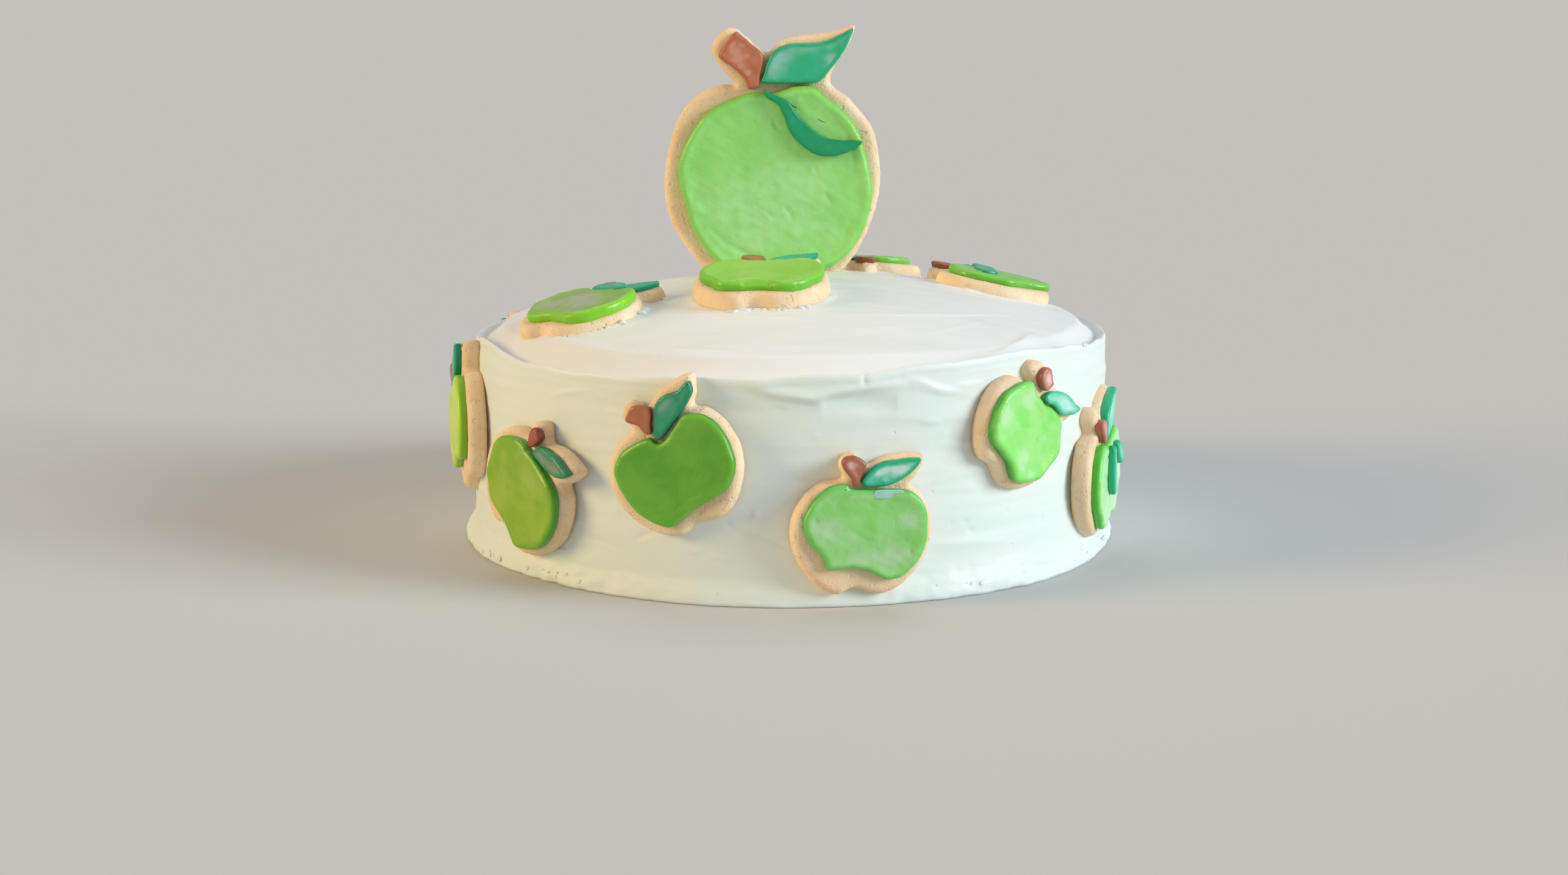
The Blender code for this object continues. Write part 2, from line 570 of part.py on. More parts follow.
def make_back_biscuit(name, frame, shapes, materials, cake):
    """A small apple biscuit at the back, whose three pieces of icing are fused into one."""
    base = BISCUIT_THICK + TOUCH_GAP
    make_slab(f"{name}_biscuit", shapes.biscuit, biscuit_levels(BISCUIT_THICK, BISCUIT_ROUND),
              frame, materials["biscuit"])
    icing = make_slab(f"{name}_icing", shapes.icing, icing_levels(base, ICING_THICK, 0.0015), frame,
                      materials["green"])
    for points, thick in ((shapes.stem, 0.96 * SPRIG_THICK), (shapes.leaf, 0.9 * SPRIG_THICK)):
        piece = make_slab("piece", points, sprig_levels(base, thick, 0.0010), frame,
                          materials["teal"])
        fuse(icing, piece)
    press_in(cake, shapes.biscuit, 0, BISCUIT_THICK, frame)


def fuse(kept, other):
    """Join another piece onto one, and remove it."""
    join = kept.modifiers.new("Fused", "BOOLEAN")
    join.operation = "UNION"
    join.solver = "MANIFOLD"
    join.object = other
    with bpy.context.temp_override(object=kept, active_object=kept):
        bpy.ops.object.modifier_apply(modifier=join.name)
    bpy.data.objects.remove(other, do_unlink=True)


def make_strips(name, frame, materials):
    """Two strips of leaf icing that hang over the green of one biscuit."""
    base = BISCUIT_THICK + ICING_THICK + 2 * TOUCH_GAP
    levels = sprig_levels(base, 0.0022, 0.0008)
    make_slab(f"{name}_strip_long", STRIP_LONG, levels, frame, materials["teal"])
    make_slab(f"{name}_strip_short", STRIP_SHORT, levels, frame, materials["teal"])


def make_large_biscuit(materials, cake):
    """The large apple biscuit that stands in the top of the cake."""
    frame = large_frame()
    base = LARGE_BISCUIT_THICK + TOUCH_GAP
    above = base + LARGE_ICING_THICK + TOUCH_GAP
    make_slab("large_biscuit", LARGE_BISCUIT, biscuit_levels(LARGE_BISCUIT_THICK, 0.0012), frame,
              materials["biscuit"], 2)
    make_slab("large_icing", LARGE_ICING, icing_levels(base, LARGE_ICING_THICK, 0.0026), frame,
              materials["green"], 2)
    make_slab("large_stem", LARGE_STEM, sprig_levels(base, 0.0040, 0.0014), frame,
              materials["brown"], 2)
    make_slab("large_leaf", LARGE_LEAF, sprig_levels(base, 0.0036, 0.0014), frame,
              materials["teal"], 2)
    make_slab("large_low_leaf", LARGE_LOW_LEAF, sprig_levels(above, 0.0024, 0.0010), frame,
              materials["teal"], 2)
    press_in(cake, LARGE_BISCUIT, 0, LARGE_BISCUIT_THICK, frame, 2)
    press_in(cake, LARGE_ICING, base - TOUCH_GAP, base + LARGE_ICING_THICK, frame, 2)


def main():
    clear_scene()
    materials = {
        "frosting": plain_material("frosting", FROSTING, 0.45),
        "biscuit": plain_material("biscuit", BISCUIT, 0.75),
        "green": plain_material("green_icing", GREEN_ICING, 0.35),
        "brown": plain_material("brown_icing", BROWN_ICING, 0.40),
        "teal": plain_material("leaf_icing", TEAL_ICING, 0.35),
    }
    cake = make_cake(materials["frosting"])
    for number, biscuit in enumerate(SEEN_SIDE_BISCUITS, start=1):
        name = f"side_{number}"
        frame = side_frame(biscuit)
        shapes = own_shapes(number, biscuit.size)
        make_small_biscuit(name, frame, shapes, BISCUIT_THICK, materials, cake)
        if number == STRIPPED_BISCUIT:
            make_strips(name, frame, materials)
    for number, biscuit in enumerate(BACK_SIDE_BISCUITS, start=1):
        seed = VARIATION_SEED + 10 + number
        shapes = plain_shapes(biscuit.size, seed, BACK_SPRIG_DROP)
        make_back_biscuit(f"back_{number}", side_frame(biscuit), shapes, materials, cake)
    for number, biscuit in enumerate(TOP_BISCUITS, start=1):
        seed = VARIATION_SEED + 20 + number
        shapes = plain_shapes(biscuit.size, seed)
        if number == WIDE_ICED_BISCUIT:
            shapes = shapes._replace(icing=sized(SMALL_ICING, 1.10, (-1.3, -1.0)))
        frame = top_frame(biscuit)
        make_small_biscuit(f"top_{number}", frame, shapes, biscuit.thick, materials, cake)
    make_large_biscuit(materials, cake)
    drop_scraps(cake)


main()
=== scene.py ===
"""Looks of the layer cake with iced apple biscuits, in metres, +Z up.

The finished pieces are made again, finer, from the same outlines and places as the solids.
Outlines and reliefs are in millimetres about the middle of each apple's body, stem up.
Azimuths are in degrees from the front, -Y, turning towards +X.
"""

import math
import random
from collections import namedtuple

import bmesh
import bpy
import numpy as np
from mathutils import Matrix, Vector, noise
from mathutils.geometry import delaunay_2d_cdt


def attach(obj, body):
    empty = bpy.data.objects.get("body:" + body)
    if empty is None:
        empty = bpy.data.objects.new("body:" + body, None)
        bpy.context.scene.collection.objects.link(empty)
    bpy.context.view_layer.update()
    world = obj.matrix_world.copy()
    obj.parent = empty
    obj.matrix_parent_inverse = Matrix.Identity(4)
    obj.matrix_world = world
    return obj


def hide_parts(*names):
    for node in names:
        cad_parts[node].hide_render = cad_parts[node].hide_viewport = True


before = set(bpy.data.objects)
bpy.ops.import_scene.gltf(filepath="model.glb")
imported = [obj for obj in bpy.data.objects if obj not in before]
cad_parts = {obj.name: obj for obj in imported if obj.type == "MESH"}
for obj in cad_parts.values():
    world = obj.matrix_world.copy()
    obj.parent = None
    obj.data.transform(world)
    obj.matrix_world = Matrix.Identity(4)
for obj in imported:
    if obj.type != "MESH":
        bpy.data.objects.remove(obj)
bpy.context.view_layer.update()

MM = 0.001

# The frosted cake, as in the solids
RADIUS_TOP = 0.1200
RADIUS_BASE = 0.1218
DOME_HEIGHT = 0.0984
DOME_FALL_X = 1.40
DOME_FALL_Y = 1.36
DOME_SLOPE_X = 0.0081
DOME_SLOPE_Y = -0.0256
LIP_WIDTH = 0.0030
LIP_DROP = 0.0014
RIM_HEIGHTS = (
    (-90, 0.0760), (-69, 0.0798), (-53, 0.0772), (-32, 0.0773), (-10, 0.0790), (11, 0.0808),
    (27, 0.0827), (40, 0.0838), (55, 0.0820), (68, 0.0795), (90, 0.0777), (130, 0.0762),
    (175, 0.0750), (225, 0.0752),
)
FOOT_HEIGHT = 0.0090
FOOT_REACHES = (
    (-90, 0.0036), (-70, 0.0028), (-45, 0.0014), (-15, 0.0022), (15, 0.0016), (45, 0.0024),
    (70, 0.0012), (100, 0.0026), (135, 0.0014), (170, 0.0030), (205, 0.0016), (240, 0.0028),
)

# The biscuits and their icing, as in the solids
BISCUIT_THICK = 0.0070
ICING_THICK = 0.0031
SPRIG_THICK = 0.0026
STRIP_THICK = 0.0022
LARGE_BISCUIT_THICK = 0.0082
LARGE_ICING_THICK = 0.0044
TOUCH_GAP = 0.0003
SMALL_BISCUIT = (
    (-6.6, 19.4), (-7.6, 24.2), (-5.4, 27.2), (-2.2, 27.6), (1.4, 23.6), (7.4, 25.8),
    (13.5, 27.0), (20.6, 26.2), (18.8, 20.6), (16.2, 16.8), (20.0, 13.4), (23.0, 6.6),
    (23.2, -1.8), (20.6, -8.6), (15.6, -14.9), (9.6, -18.8), (4.4, -19.4), (-2.8, -17.4),
    (-8.4, -19.1), (-14.6, -16.2), (-20.2, -9.6), (-23.2, -1.6), (-23.0, 6.2), (-19.4, 13.2),
    (-13.6, 17.8),
)
SMALL_ICING = (
    (-2.4, 14.4), (-5.1, 16.2), (-8.6, 16.2), (-13.2, 13.8), (-17.0, 9.0), (-19.2, 3.4),
    (-18.6, -2.0), (-15.6, -7.4), (-12.6, -12.6), (-7.6, -14.3), (-1.2, -13.8), (4.3, -14.8),
    (9.4, -16.4), (14.8, -14.2), (18.9, -9.2), (21.6, -4.0), (22.4, 3.0), (21.0, 9.6),
    (17.6, 13.6), (13.4, 14.4), (8.2, 13.6), (2.4, 13.6),
)
SMALL_STEM = (
    (-2.6, 14.9), (-3.6, 18.2), (-6.8, 22.2), (-6.6, 25.8), (-3.6, 27.0), (-0.4, 26.0),
    (1.6, 22.0), (0.7, 17.6), (0.6, 14.9),
)
SMALL_LEAF = (
    (1.4, 15.3), (2.3, 18.4), (4.7, 21.6), (9.4, 23.8), (15.0, 25.0), (19.8, 25.6),
    (18.2, 21.6), (14.6, 18.0), (10.4, 15.6), (5.6, 14.9),
)
# Outlines of the side biscuits that are shaped on their own, numbered as the biscuits are
ICING_1 = (
    (-1.2, 14.9), (-6.0, 15.6), (-12.0, 15.2), (-16.5, 13.0), (-19.2, 9.0), (-19.8, 3.0),
    (-18.8, -4.0), (-16.0, -9.8), (-12.6, -13.8), (-9.6, -15.6), (-4.6, -15.0), (1.0, -13.8),
    (8.0, -13.6), (15.0, -12.8), (19.8, -9.8), (22.6, -5.6), (23.6, -0.6), (23.8, 4.6),
    (22.6, 9.6), (19.8, 13.4), (15.8, 15.9), (12.8, 15.9), (8.6, 13.8), (3.6, 11.7), (0.2, 12.0),
)
STEM_1 = (
    (-0.8, 15.8), (-2.2, 17.4), (-2.8, 20.4), (-5.6, 22.8), (-5.8, 24.4), (-3.6, 26.0),
    (-1.0, 27.0), (2.0, 26.0), (4.2, 23.6), (3.4, 21.2), (1.6, 18.4), (0.4, 16.0),
)
LEAF_1 = (
    (0.6, 12.9), (0.6, 14.8), (2.4, 17.6), (4.4, 20.8), (5.4, 22.8), (7.8, 24.6), (10.6, 25.3),
    (13.4, 24.9), (16.2, 24.5), (19.0, 25.3), (21.6, 25.3), (21.0, 22.0), (18.2, 19.8),
    (14.0, 17.4), (8.4, 14.9), (3.4, 12.8),
)
ICING_2 = (
    (-4.6, 17.8), (-5.8, 19.0), (-8.0, 19.5), (-12.0, 18.6), (-15.4, 16.2), (-18.8, 12.6),
    (-21.0, 8.0), (-20.9, 3.8), (-19.0, -0.8), (-15.8, -4.0), (-13.9, -7.2), (-12.6, -10.2),
    (-8.4, -10.2), (-3.4, -10.2), (1.0, -11.2), (4.8, -13.2), (8.0, -14.4), (12.2, -14.0),
    (15.4, -12.0), (19.0, -8.0), (21.5, -3.0), (22.1, 2.0), (21.9, 8.0), (20.0, 12.8),
    (17.0, 15.6), (13.0, 16.8), (8.0, 17.2), (2.0, 17.2),
)
STEM_2 = (
    (-3.9, 18.9), (-4.4, 20.8), (-7.0, 24.2), (-8.0, 26.8), (-6.8, 28.6), (-4.4, 29.2),
    (-2.2, 28.6), (0.0, 27.0), (0.6, 25.2), (-0.8, 22.6), (-1.7, 20.6), (-2.0, 19.0),
)
LEAF_2 = (
    (-0.6, 19.0), (-1.0, 20.4), (0.8, 23.0), (4.0, 25.6), (7.2, 26.8), (11.6, 27.2),
    (15.6, 27.6), (19.6, 27.3), (18.6, 24.8), (15.4, 21.8), (11.4, 19.4), (7.6, 18.3),
    (3.4, 18.1), (0.6, 18.2),
)
BISCUIT_3 = (
    (-9.0, 15.4), (-13.2, 17.4), (-13.8, 20.8), (-11.4, 23.8), (-7.6, 25.2), (-3.2, 24.2),
    (0.6, 22.2), (6.9, 24.4), (12.6, 25.4), (18.0, 24.6), (17.0, 19.4), (15.1, 15.6),
    (18.6, 12.5), (21.4, 6.1), (21.6, -1.7), (19.2, -8.0), (14.5, -13.9), (8.9, -17.5),
    (4.1, -18.0), (-2.6, -16.4), (-7.8, -17.8), (-13.6, -15.3), (-18.8, -9.2), (-21.6, -1.5),
    (-21.2, 5.8), (-17.4, 11.8),
)
ICING_3 = (
    (-19.8, -4.0), (-20.0, 2.0), (-18.4, 6.6), (-16.2, 10.2), (-14.0, 12.8), (-11.8, 14.0),
    (-9.8, 13.4), (-7.6, 12.4), (-4.6, 12.6), (-1.4, 12.6), (3.0, 14.4), (7.6, 14.8),
    (11.2, 13.6), (13.8, 10.8), (17.2, 7.6), (18.2, 3.6), (17.2, -1.6), (16.4, -7.0),
    (13.2, -11.0), (9.4, -14.2), (5.8, -16.0), (3.0, -15.2), (-1.0, -13.8), (-7.4, -13.6),
    (-13.0, -13.6), (-16.4, -11.2), (-18.2, -8.0),
)
STEM_3 = (
    (-10.2, 19.6), (-9.9, 22.4), (-7.8, 23.6), (-5.8, 23.0), (-3.8, 21.6), (-2.2, 20.6),
    (-2.8, 18.4), (-3.8, 16.6), (-6.6, 16.4), (-9.2, 17.6),
)
LEAF_3 = (
    (-2.2, 14.2), (-2.6, 15.6), (-1.4, 18.0), (0.6, 20.0), (3.6, 22.2), (7.4, 23.5),
    (12.0, 23.9), (15.8, 24.2), (15.0, 21.0), (12.2, 18.4), (9.4, 16.2), (6.0, 15.8),
    (3.0, 15.5), (0.4, 14.2),
)
STEM_4 = (
    (-3.6, 15.2), (-4.4, 17.8), (-6.8, 21.0), (-6.8, 23.6), (-4.6, 24.8), (-2.0, 23.8),
    (-0.8, 20.8), (-1.4, 17.6), (-1.6, 15.2),
)
LEAF_4 = (
    (0.2, 15.2), (0.4, 19.0), (2.4, 23.4), (7.0, 26.2), (14.0, 27.6), (20.8, 27.0),
    (19.2, 22.0), (17.0, 18.6), (12.0, 15.8), (6.0, 15.1),
)
ICING_6 = (
    (-1.6, 18.9), (-4.2, 19.5), (-7.8, 19.3), (-11.0, 17.8), (-14.6, 15.4), (-17.6, 12.0),
    (-18.8, 7.6), (-18.4, 1.0), (-17.4, -3.6), (-14.8, -6.8), (-12.4, -9.8), (-8.6, -11.6),
    (-3.0, -12.2), (2.6, -13.2), (6.0, -14.8), (9.2, -16.2), (12.2, -15.2), (15.6, -12.4),
    (19.6, -9.2), (22.2, -5.0), (23.3, 0.4), (23.3, 5.6), (21.4, 10.8), (19.2, 14.2),
    (16.0, 16.4), (12.0, 17.8), (6.0, 18.7), (2.0, 19.0),
)
STEM_6 = (
    (-2.2, 20.6), (-3.2, 22.8), (-3.8, 25.4), (-3.4, 28.0), (-1.6, 29.2), (0.6, 28.4),
    (2.0, 26.6), (1.2, 24.2), (-0.2, 22.0),
)
LEAF_6 = (
    (0.6, 20.2), (1.3, 22.0), (2.6, 23.9), (4.4, 25.6), (8.4, 26.8), (13.0, 27.6),
    (18.0, 27.4), (21.4, 27.1), (20.4, 25.0), (18.2, 22.8), (14.8, 21.0), (10.0, 20.0),
    (5.0, 19.7), (2.0, 19.8),
)
LARGE_BISCUIT = (
    (-14.3, 40.4), (-20.0, 46.6), (-23.6, 53.4), (-20.6, 59.2), (-15.0, 61.8), (-9.7, 58.0),
    (-2.4, 52.4), (3.1, 56.8), (11.0, 58.8), (22.7, 60.2), (31.6, 62.6), (28.8, 54.4),
    (24.0, 47.2), (22.6, 40.4), (30.0, 34.4), (38.6, 23.4), (41.2, 13.0), (41.8, 0.5),
    (38.9, -11.6), (33.6, -23.9), (27.6, -31.4), (19.6, -37.6), (10.0, -39.8), (0.4, -36.6),
    (-9.6, -39.6), (-19.0, -37.4), (-27.3, -31.0), (-35.5, -20.2), (-40.2, -11.0),
    (-41.8, -2.6), (-41.6, 7.4), (-38.9, 20.4), (-34.2, 30.6), (-26.6, 37.4), (-19.2, 40.0),
)
LARGE_ICING = (
    (-7.2, 37.6), (-16.2, 34.6), (-25.8, 28.8), (-33.0, 19.0), (-36.4, 7.2), (-34.0, -4.6),
    (-31.0, -14.6), (-24.6, -24.6), (-18.2, -30.2), (-9.0, -33.0), (0.6, -31.4), (10.4, -33.2),
    (19.6, -31.0), (27.6, -26.6), (33.6, -19.2), (37.6, -8.6), (38.6, 0.6), (36.4, 12.0),
    (33.4, 21.8), (27.6, 29.8), (20.2, 36.0), (15.4, 39.8), (8.0, 39.6), (1.0, 37.4),
)
LARGE_STEM = (
    (-9.2, 38.8), (-10.6, 42.4), (-14.6, 46.4), (-20.4, 50.8), (-19.0, 54.4), (-14.4, 60.2),
    (-12.4, 59.6), (-8.6, 56.4), (-3.8, 52.2), (-3.6, 48.4), (-4.6, 44.0), (-5.4, 39.4),
)
LARGE_LEAF = (
    (-3.8, 41.2), (-3.2, 45.0), (-2.2, 48.8), (0.2, 52.6), (3.8, 55.2), (8.4, 56.2),
    (14.4, 56.2), (21.0, 57.2), (26.0, 59.4), (31.0, 61.6), (29.2, 56.4), (26.4, 51.4),
    (22.6, 46.4), (18.4, 41.8), (13.6, 41.0), (6.0, 40.7),
)
LARGE_LOW_LEAF = (
    (-3.2, 38.8), (0.6, 36.8), (6.0, 34.4), (9.8, 29.4), (14.0, 25.2), (19.4, 20.9),
    (26.0, 19.5), (34.6, 19.0), (30.0, 15.2), (22.0, 13.2), (14.6, 15.0), (7.4, 21.6),
    (4.5, 28.4), (2.2, 33.0), (-1.8, 35.4),
)
STRIP_LONG = (
    (-2.5, 12.2), (-4.1, 4.4), (-4.3, -3.6), (-2.1, -6.2), (1.1, -5.0), (1.3, 4.4), (1.1, 11.8),
)
STRIP_SHORT = (
    (6.0, 10.4), (7.4, 5.2), (12.0, 0.0), (15.8, 0.8), (14.6, 5.6), (10.2, 10.4),
)
SideBiscuit = namedtuple("SideBiscuit", "azimuth height turn swing press size")
SEEN_SIDE_BISCUITS = (
    SideBiscuit(-18.2, 0.0464, 30, 0, 0.0010, 1.05),
    SideBiscuit(11.2, 0.0250, 0, 0, 0.0010, 1.05),
    SideBiscuit(40.3, 0.0554, -46, 5, 0.0022, 0.93),
    SideBiscuit(66.7, 0.0302, 14, 7, 0.0036, 1.05),
    SideBiscuit(-77.0, 0.0433, 32, -1, 0.0014, 1.05),
    SideBiscuit(-49.4, 0.0311, -31, 0, 0.0010, 1.05),
)
BACK_SIDE_BISCUITS = (
    SideBiscuit(119.0, 0.0466, -12, 0, 0.0012, 0.98),
    SideBiscuit(149.0, 0.0272, 24, 0, 0.0010, 1.02),
    SideBiscuit(179.0, 0.0490, 5, 0, 0.0014, 1.00),
    SideBiscuit(209.0, 0.0262, -20, 0, 0.0010, 0.97),
    SideBiscuit(239.0, 0.0452, 16, 0, 0.0012, 1.00),
)
STRIPPED_BISCUIT = 4
TopBiscuit = namedtuple("TopBiscuit", "across along turn size tip thick press")
TOP_BISCUITS = (
    TopBiscuit(-0.0106, -0.0440, 0, 1.07, 2.0, 0.0080, 0.0014),
    TopBiscuit(-0.0778, -0.0445, -36, 1.01, 0.5, 0.0070, 0.0030),
    TopBiscuit(0.0790, 0.0180, 54, 1.02, 1.5, 0.0070, 0.0026),
    TopBiscuit(0.0290, 0.0575, 173, 1.00, 2.5, 0.0070, 0.0026),
)
WIDE_ICED_BISCUIT = 1
BACK_SPRIG_DROP = 2.2
LARGE_ACROSS = -0.0072
LARGE_FRONT = 0.0210
LARGE_MIDDLE_HEIGHT = 0.1290
# Thicknesses of single icings, and how deep a dab sinks in, in millimetres
LARGE_STEM_THICK = 4.0
LARGE_LEAF_THICK = 3.6
LOW_LEAF_THICK = 2.4
SMEAR_THICK = 0.45
DAB_THICK = 1.5
DAB_SUNK = 0.4
# Icings of the common shape that are wider or lie further left
WIDE_ICING_SIZE = 1.10
WIDE_ICING_SHIFT = (-1.3, -1.0)
ICING_4_SHIFT = (-1.4, -1.0)
VARIATION_SEED = 41
STRIP_SEED = 71
SMEAR_SEED = 72
DAB_SEED = 73
LARGE_SEED = 81

# Pale patches of the icing: the pieces, and each patch's middle and reach in millimetres
PALE_PATCHES = {
    "large_green": ((-3.0, -8.0, 21.0), (6.0, 2.0, 14.0)),
    # On the stalks the pale patches are partly paler icing and partly painted highlight on the glossy
    # stem.
    "large_stalk": ((-16.2, 55.8, 2.1), (-14.2, 53.2, 2.0), (-12.8, 50.4, 2.2), (-11.2, 47.8, 1.9),
                    (-9.8, 45.2, 1.6), (-11.4, 55.6, 1.4), (-9.6, 51.4, 1.4)),
    "large_leaf_icing": ((-0.6, 47.0, 4.6), (1.0, 52.4, 5.6), (8.0, 56.2, 4.8), (14.6, 57.4, 4.6),
                         (21.0, 58.0, 4.2), (28.0, 60.6, 4.4), (23.4, 49.4, 3.6)),
    "side_1_leaf_icing": ((8.5, 23.5, 4.2), (14.0, 25.5, 3.2)),
    "side_2_leaf_icing": ((6.0, 24.2, 3.0), (12.0, 24.0, 3.6), (15.6, 27.0, 2.2)),
    "side_3_leaf_icing": ((8.5, 19.6, 5.0),),
    "side_4_leaf_icing": ((8.0, 24.0, 6.0), (14.0, 28.0, 5.0)),
    "side_6_leaf_icing": ((6.0, 21.2, 4.0), (12.5, 22.2, 3.8), (15.5, 25.6, 2.6)),
    # Pale patches on these stalks: partly paler icing, partly painted highlight.
    "side_2_stalk": ((-5.0, 26.0, 2.0), (-2.6, 22.0, 1.4)),
    "side_3_stalk": ((-5.2, 21.0, 3.0),),
    "side_1_green": ((18.0, 12.0, 5.0),),
    "side_2_green": ((-14.5, 4.0, 5.5), (8.5, -6.0, 6.0), (-2.0, -8.0, 4.5), (15.0, 6.0, 4.0)),
    "side_3_green": ((-17.0, -4.0, 5.0), (2.0, -8.5, 4.5), (10.5, -9.0, 2.4), (-10.0, 8.0, 4.5)),
    "side_4_green": ((6.0, 8.0, 6.0), (10.0, -4.0, 7.0)),
    "side_6_green": ((4.0, 12.0, 5.0),),
    "top_2_green": ((0.0, 2.0, 9.0), (8.0, -3.0, 6.0), (-9.0, -2.0, 5.0)),
}
# Smears of leaf icing on the green, and the torn front of one green icing
SMEARED_BISCUIT = 2
SMEAR_OUTLINE = (
    (3.0, 14.4), (3.4, 17.0), (8.0, 17.2), (13.0, 16.8), (12.8, 14.4), (8.0, 14.1),
)
TOP_DABS = {
    2: ((-1.8, 13.4), (-1.4, 17.4), (4.6, 18.8), (10.6, 17.6), (14.6, 13.8), (10.0, 11.2), (4.0, 11.4)),
    3: ((13.0, 19.0), (17.6, 13.0), (8.4, 5.4), (0.4, 0.4), (-5.0, 3.4), (-3.0, 8.0), (5.4, 14.6)),
}

# How finely the pieces are made, in millimetres but for the count
WALL_COLUMNS = 860
WALL_RING_GAP = 0.90
TOP_GRID = 1.05
OUTLINE_GAP = 0.65
SEAM_INSET = 3.6
ROOM_SHARE = 0.28
# Fine unevenness of the biscuits' crust, in millimetres
CRUST_WAVE = 1.6
SMALL_CRUST = 0.045
LARGE_CRUST = 0.08

# Relief of the frosting: each noise's height (mm), its wavelengths (mm) and its seed
WALL_NOISE = ((0.50, (46, 46, 30), 1), (0.26, (52, 52, 7.0), 2), (0.13, (34, 34, 2.6), 3))
FOOT_NOISE = ((1.0, (9, 9, 7), 5), (0.6, (4, 4, 2.6), 6))
RIM_NOISE = ((0.55, (16, 16, 16), 11), (0.22, (5, 5, 5), 12))
TORN_RIM_NOISE = ((0.7, (3.5, 3.5, 3.5), 13),)
TOP_NOISE = ((0.60, (44, 26, 30), 21), (0.30, (40, 9, 8), 22), (0.10, (22, 3.4, 3), 23))
# Where the foot and the lip are rougher and the top lies deeper: how much, azimuth and width,
# and how far up and how far in that goes, in millimetres
ROUGH_FOOT = ((0.9, -41, 9), (0.5, 34, 10), (0.5, 78, 12), (0.6, 160, 22), (0.6, 222, 18))
EVEN_FOOT_SHARE = 0.35
ROUGH_FOOT_HEIGHT = 13.0
FOOT_RELIEF = 1.15
TORN_RIMS = ((1.0, 74, 12), (0.5, 12, 14))
VALLEYS = ((1.5, -64, 20), (1.9, 76, 17), (0.4, 200, 50))
VALLEY_REACH = 5.0
VALLEY_STEPS = 3
RELIEF_FADE = 6.0
# How far below the rim the lip starts, in millimetres
LIP_START = 3.0
# The lip's edge in metres: how far out from the top's radius and up from the rim each point is
LIP_EDGE = (
    (0.00020, -0.0024), (0.00012, -0.0014), (-0.00005, -0.0006), (-0.00030, -0.00015),
    (-0.00065, 0.0), (-0.00105, -0.0002), (-0.00150, -0.0006),
)
# Frosting that rises round the biscuits, in millimetres
SQUEEZE_RISE = 0.75
LARGE_SQUEEZE_RISE = 0.9
LARGE_FOOT_HALF = 27.0
# How far the torn lumps take the top's whiter tone, as painted light on their raised bits
LUMP_PAINTED_LIGHT = 0.6
LUMP_REACHES = ((1.0, 2.1), (0.55, 0.9), (0.45, 0.75))

# Marks of the spatula, in millimetres: their path, how far they stand out, and their width.
# A step is sharp on the path's left and runs out softly on its right.
Mark = namedtuple("Mark", "path height width kind", defaults=("ridge",))
STEP_SHARP = 0.55
STEP_SOFT = 3.5
WALL_MARKS = (
    Mark(((-55.3, 64.6), (-51.7, 65.1), (-46.8, 66.2)), 0.22, 0.6, "step"),
    Mark(((-44.9, 66.1), (-43.0, 68.3), (-38.6, 70.3), (-34.6, 70.9)), 0.35, 0.8),
    Mark(((-32.7, 65.2), (-29.1, 64.6), (-27.0, 65.7)), 0.40, 0.7, "step"),
    Mark(((-37.3, 40.5), (-34.1, 41.1), (-30.3, 42.3)), 0.28, 0.6, "step"),
    Mark(((-37.1, 19.3), (-32.0, 17.8), (-28.2, 15.8)), -0.42, 0.7),
    Mark(((-26.5, 20.5), (-24.8, 22.5), (-22.4, 24.0)), -0.45, 0.8),
    Mark(((-19.2, 23.3), (-16.3, 21.4)), -0.35, 0.6),
    Mark(((-16.3, 18.5), (-15.0, 17.7)), 0.45, 0.6),
    Mark(((-13.5, 18.2), (-11.9, 16.4), (-9.8, 15.3)), 0.45, 0.6),
    Mark(((-11.1, 29.8), (-9.8, 27.2), (-8.2, 25.5), (-2.8, 22.9), (0.7, 18.8)), -0.55, 0.7),
    Mark(((0.7, 17.4), (-2.8, 21.4), (-8.2, 24.2), (-10.4, 26.6)), 0.30, 0.8, "step"),
    Mark(((-27.3, 10.4), (-25.9, 7.5), (-22.5, 6.9), (-19.2, 5.6), (-15.1, 5.2)), -0.35, 0.6),
    Mark(((-63.6, 5.0), (-58.6, 6.5)), -0.60, 1.2),
    Mark(((-29.6, 34.9), (-29.7, 27.0)), 0.18, 0.7, "step"),
    Mark(((-6.2, 32.3), (-4.9, 32.2)), 0.75, 0.9),
    Mark(((-6.6, 29.7), (-6.0, 29.7)), 0.50, 0.7),
    Mark(((3.2, 58.4), (4.8, 60.4)), 0.35, 0.5),
    Mark(((-4.0, 69.5), (-0.7, 68.4)), -0.40, 0.6),
    Mark(((21.8, 62.3), (25.6, 62.4)), 0.55, 0.8),
    Mark(((33.6, 37.2), (23.4, 37.9)), 0.34, 0.6, "step"),
    Mark(((29.5, 26.4), (30.8, 25.5)), -0.45, 0.5),
    Mark(((30.5, 23.2), (31.8, 22.2)), -0.55, 0.5),
    Mark(((27.0, 26.1), (28.0, 25.7)), -0.35, 0.5),
    Mark(((38.4, 27.5), (39.6, 27.1)), -0.35, 0.5),
    Mark(((47.4, 22.6), (47.8, 20.6)), -0.60, 0.5),
    Mark(((36.2, 9.0), (42.9, 8.5), (54.0, 4.8)), 0.75, 1.0),
    Mark(((41.4, 6.4), (42.4, 5.6)), -0.70, 0.8),
)
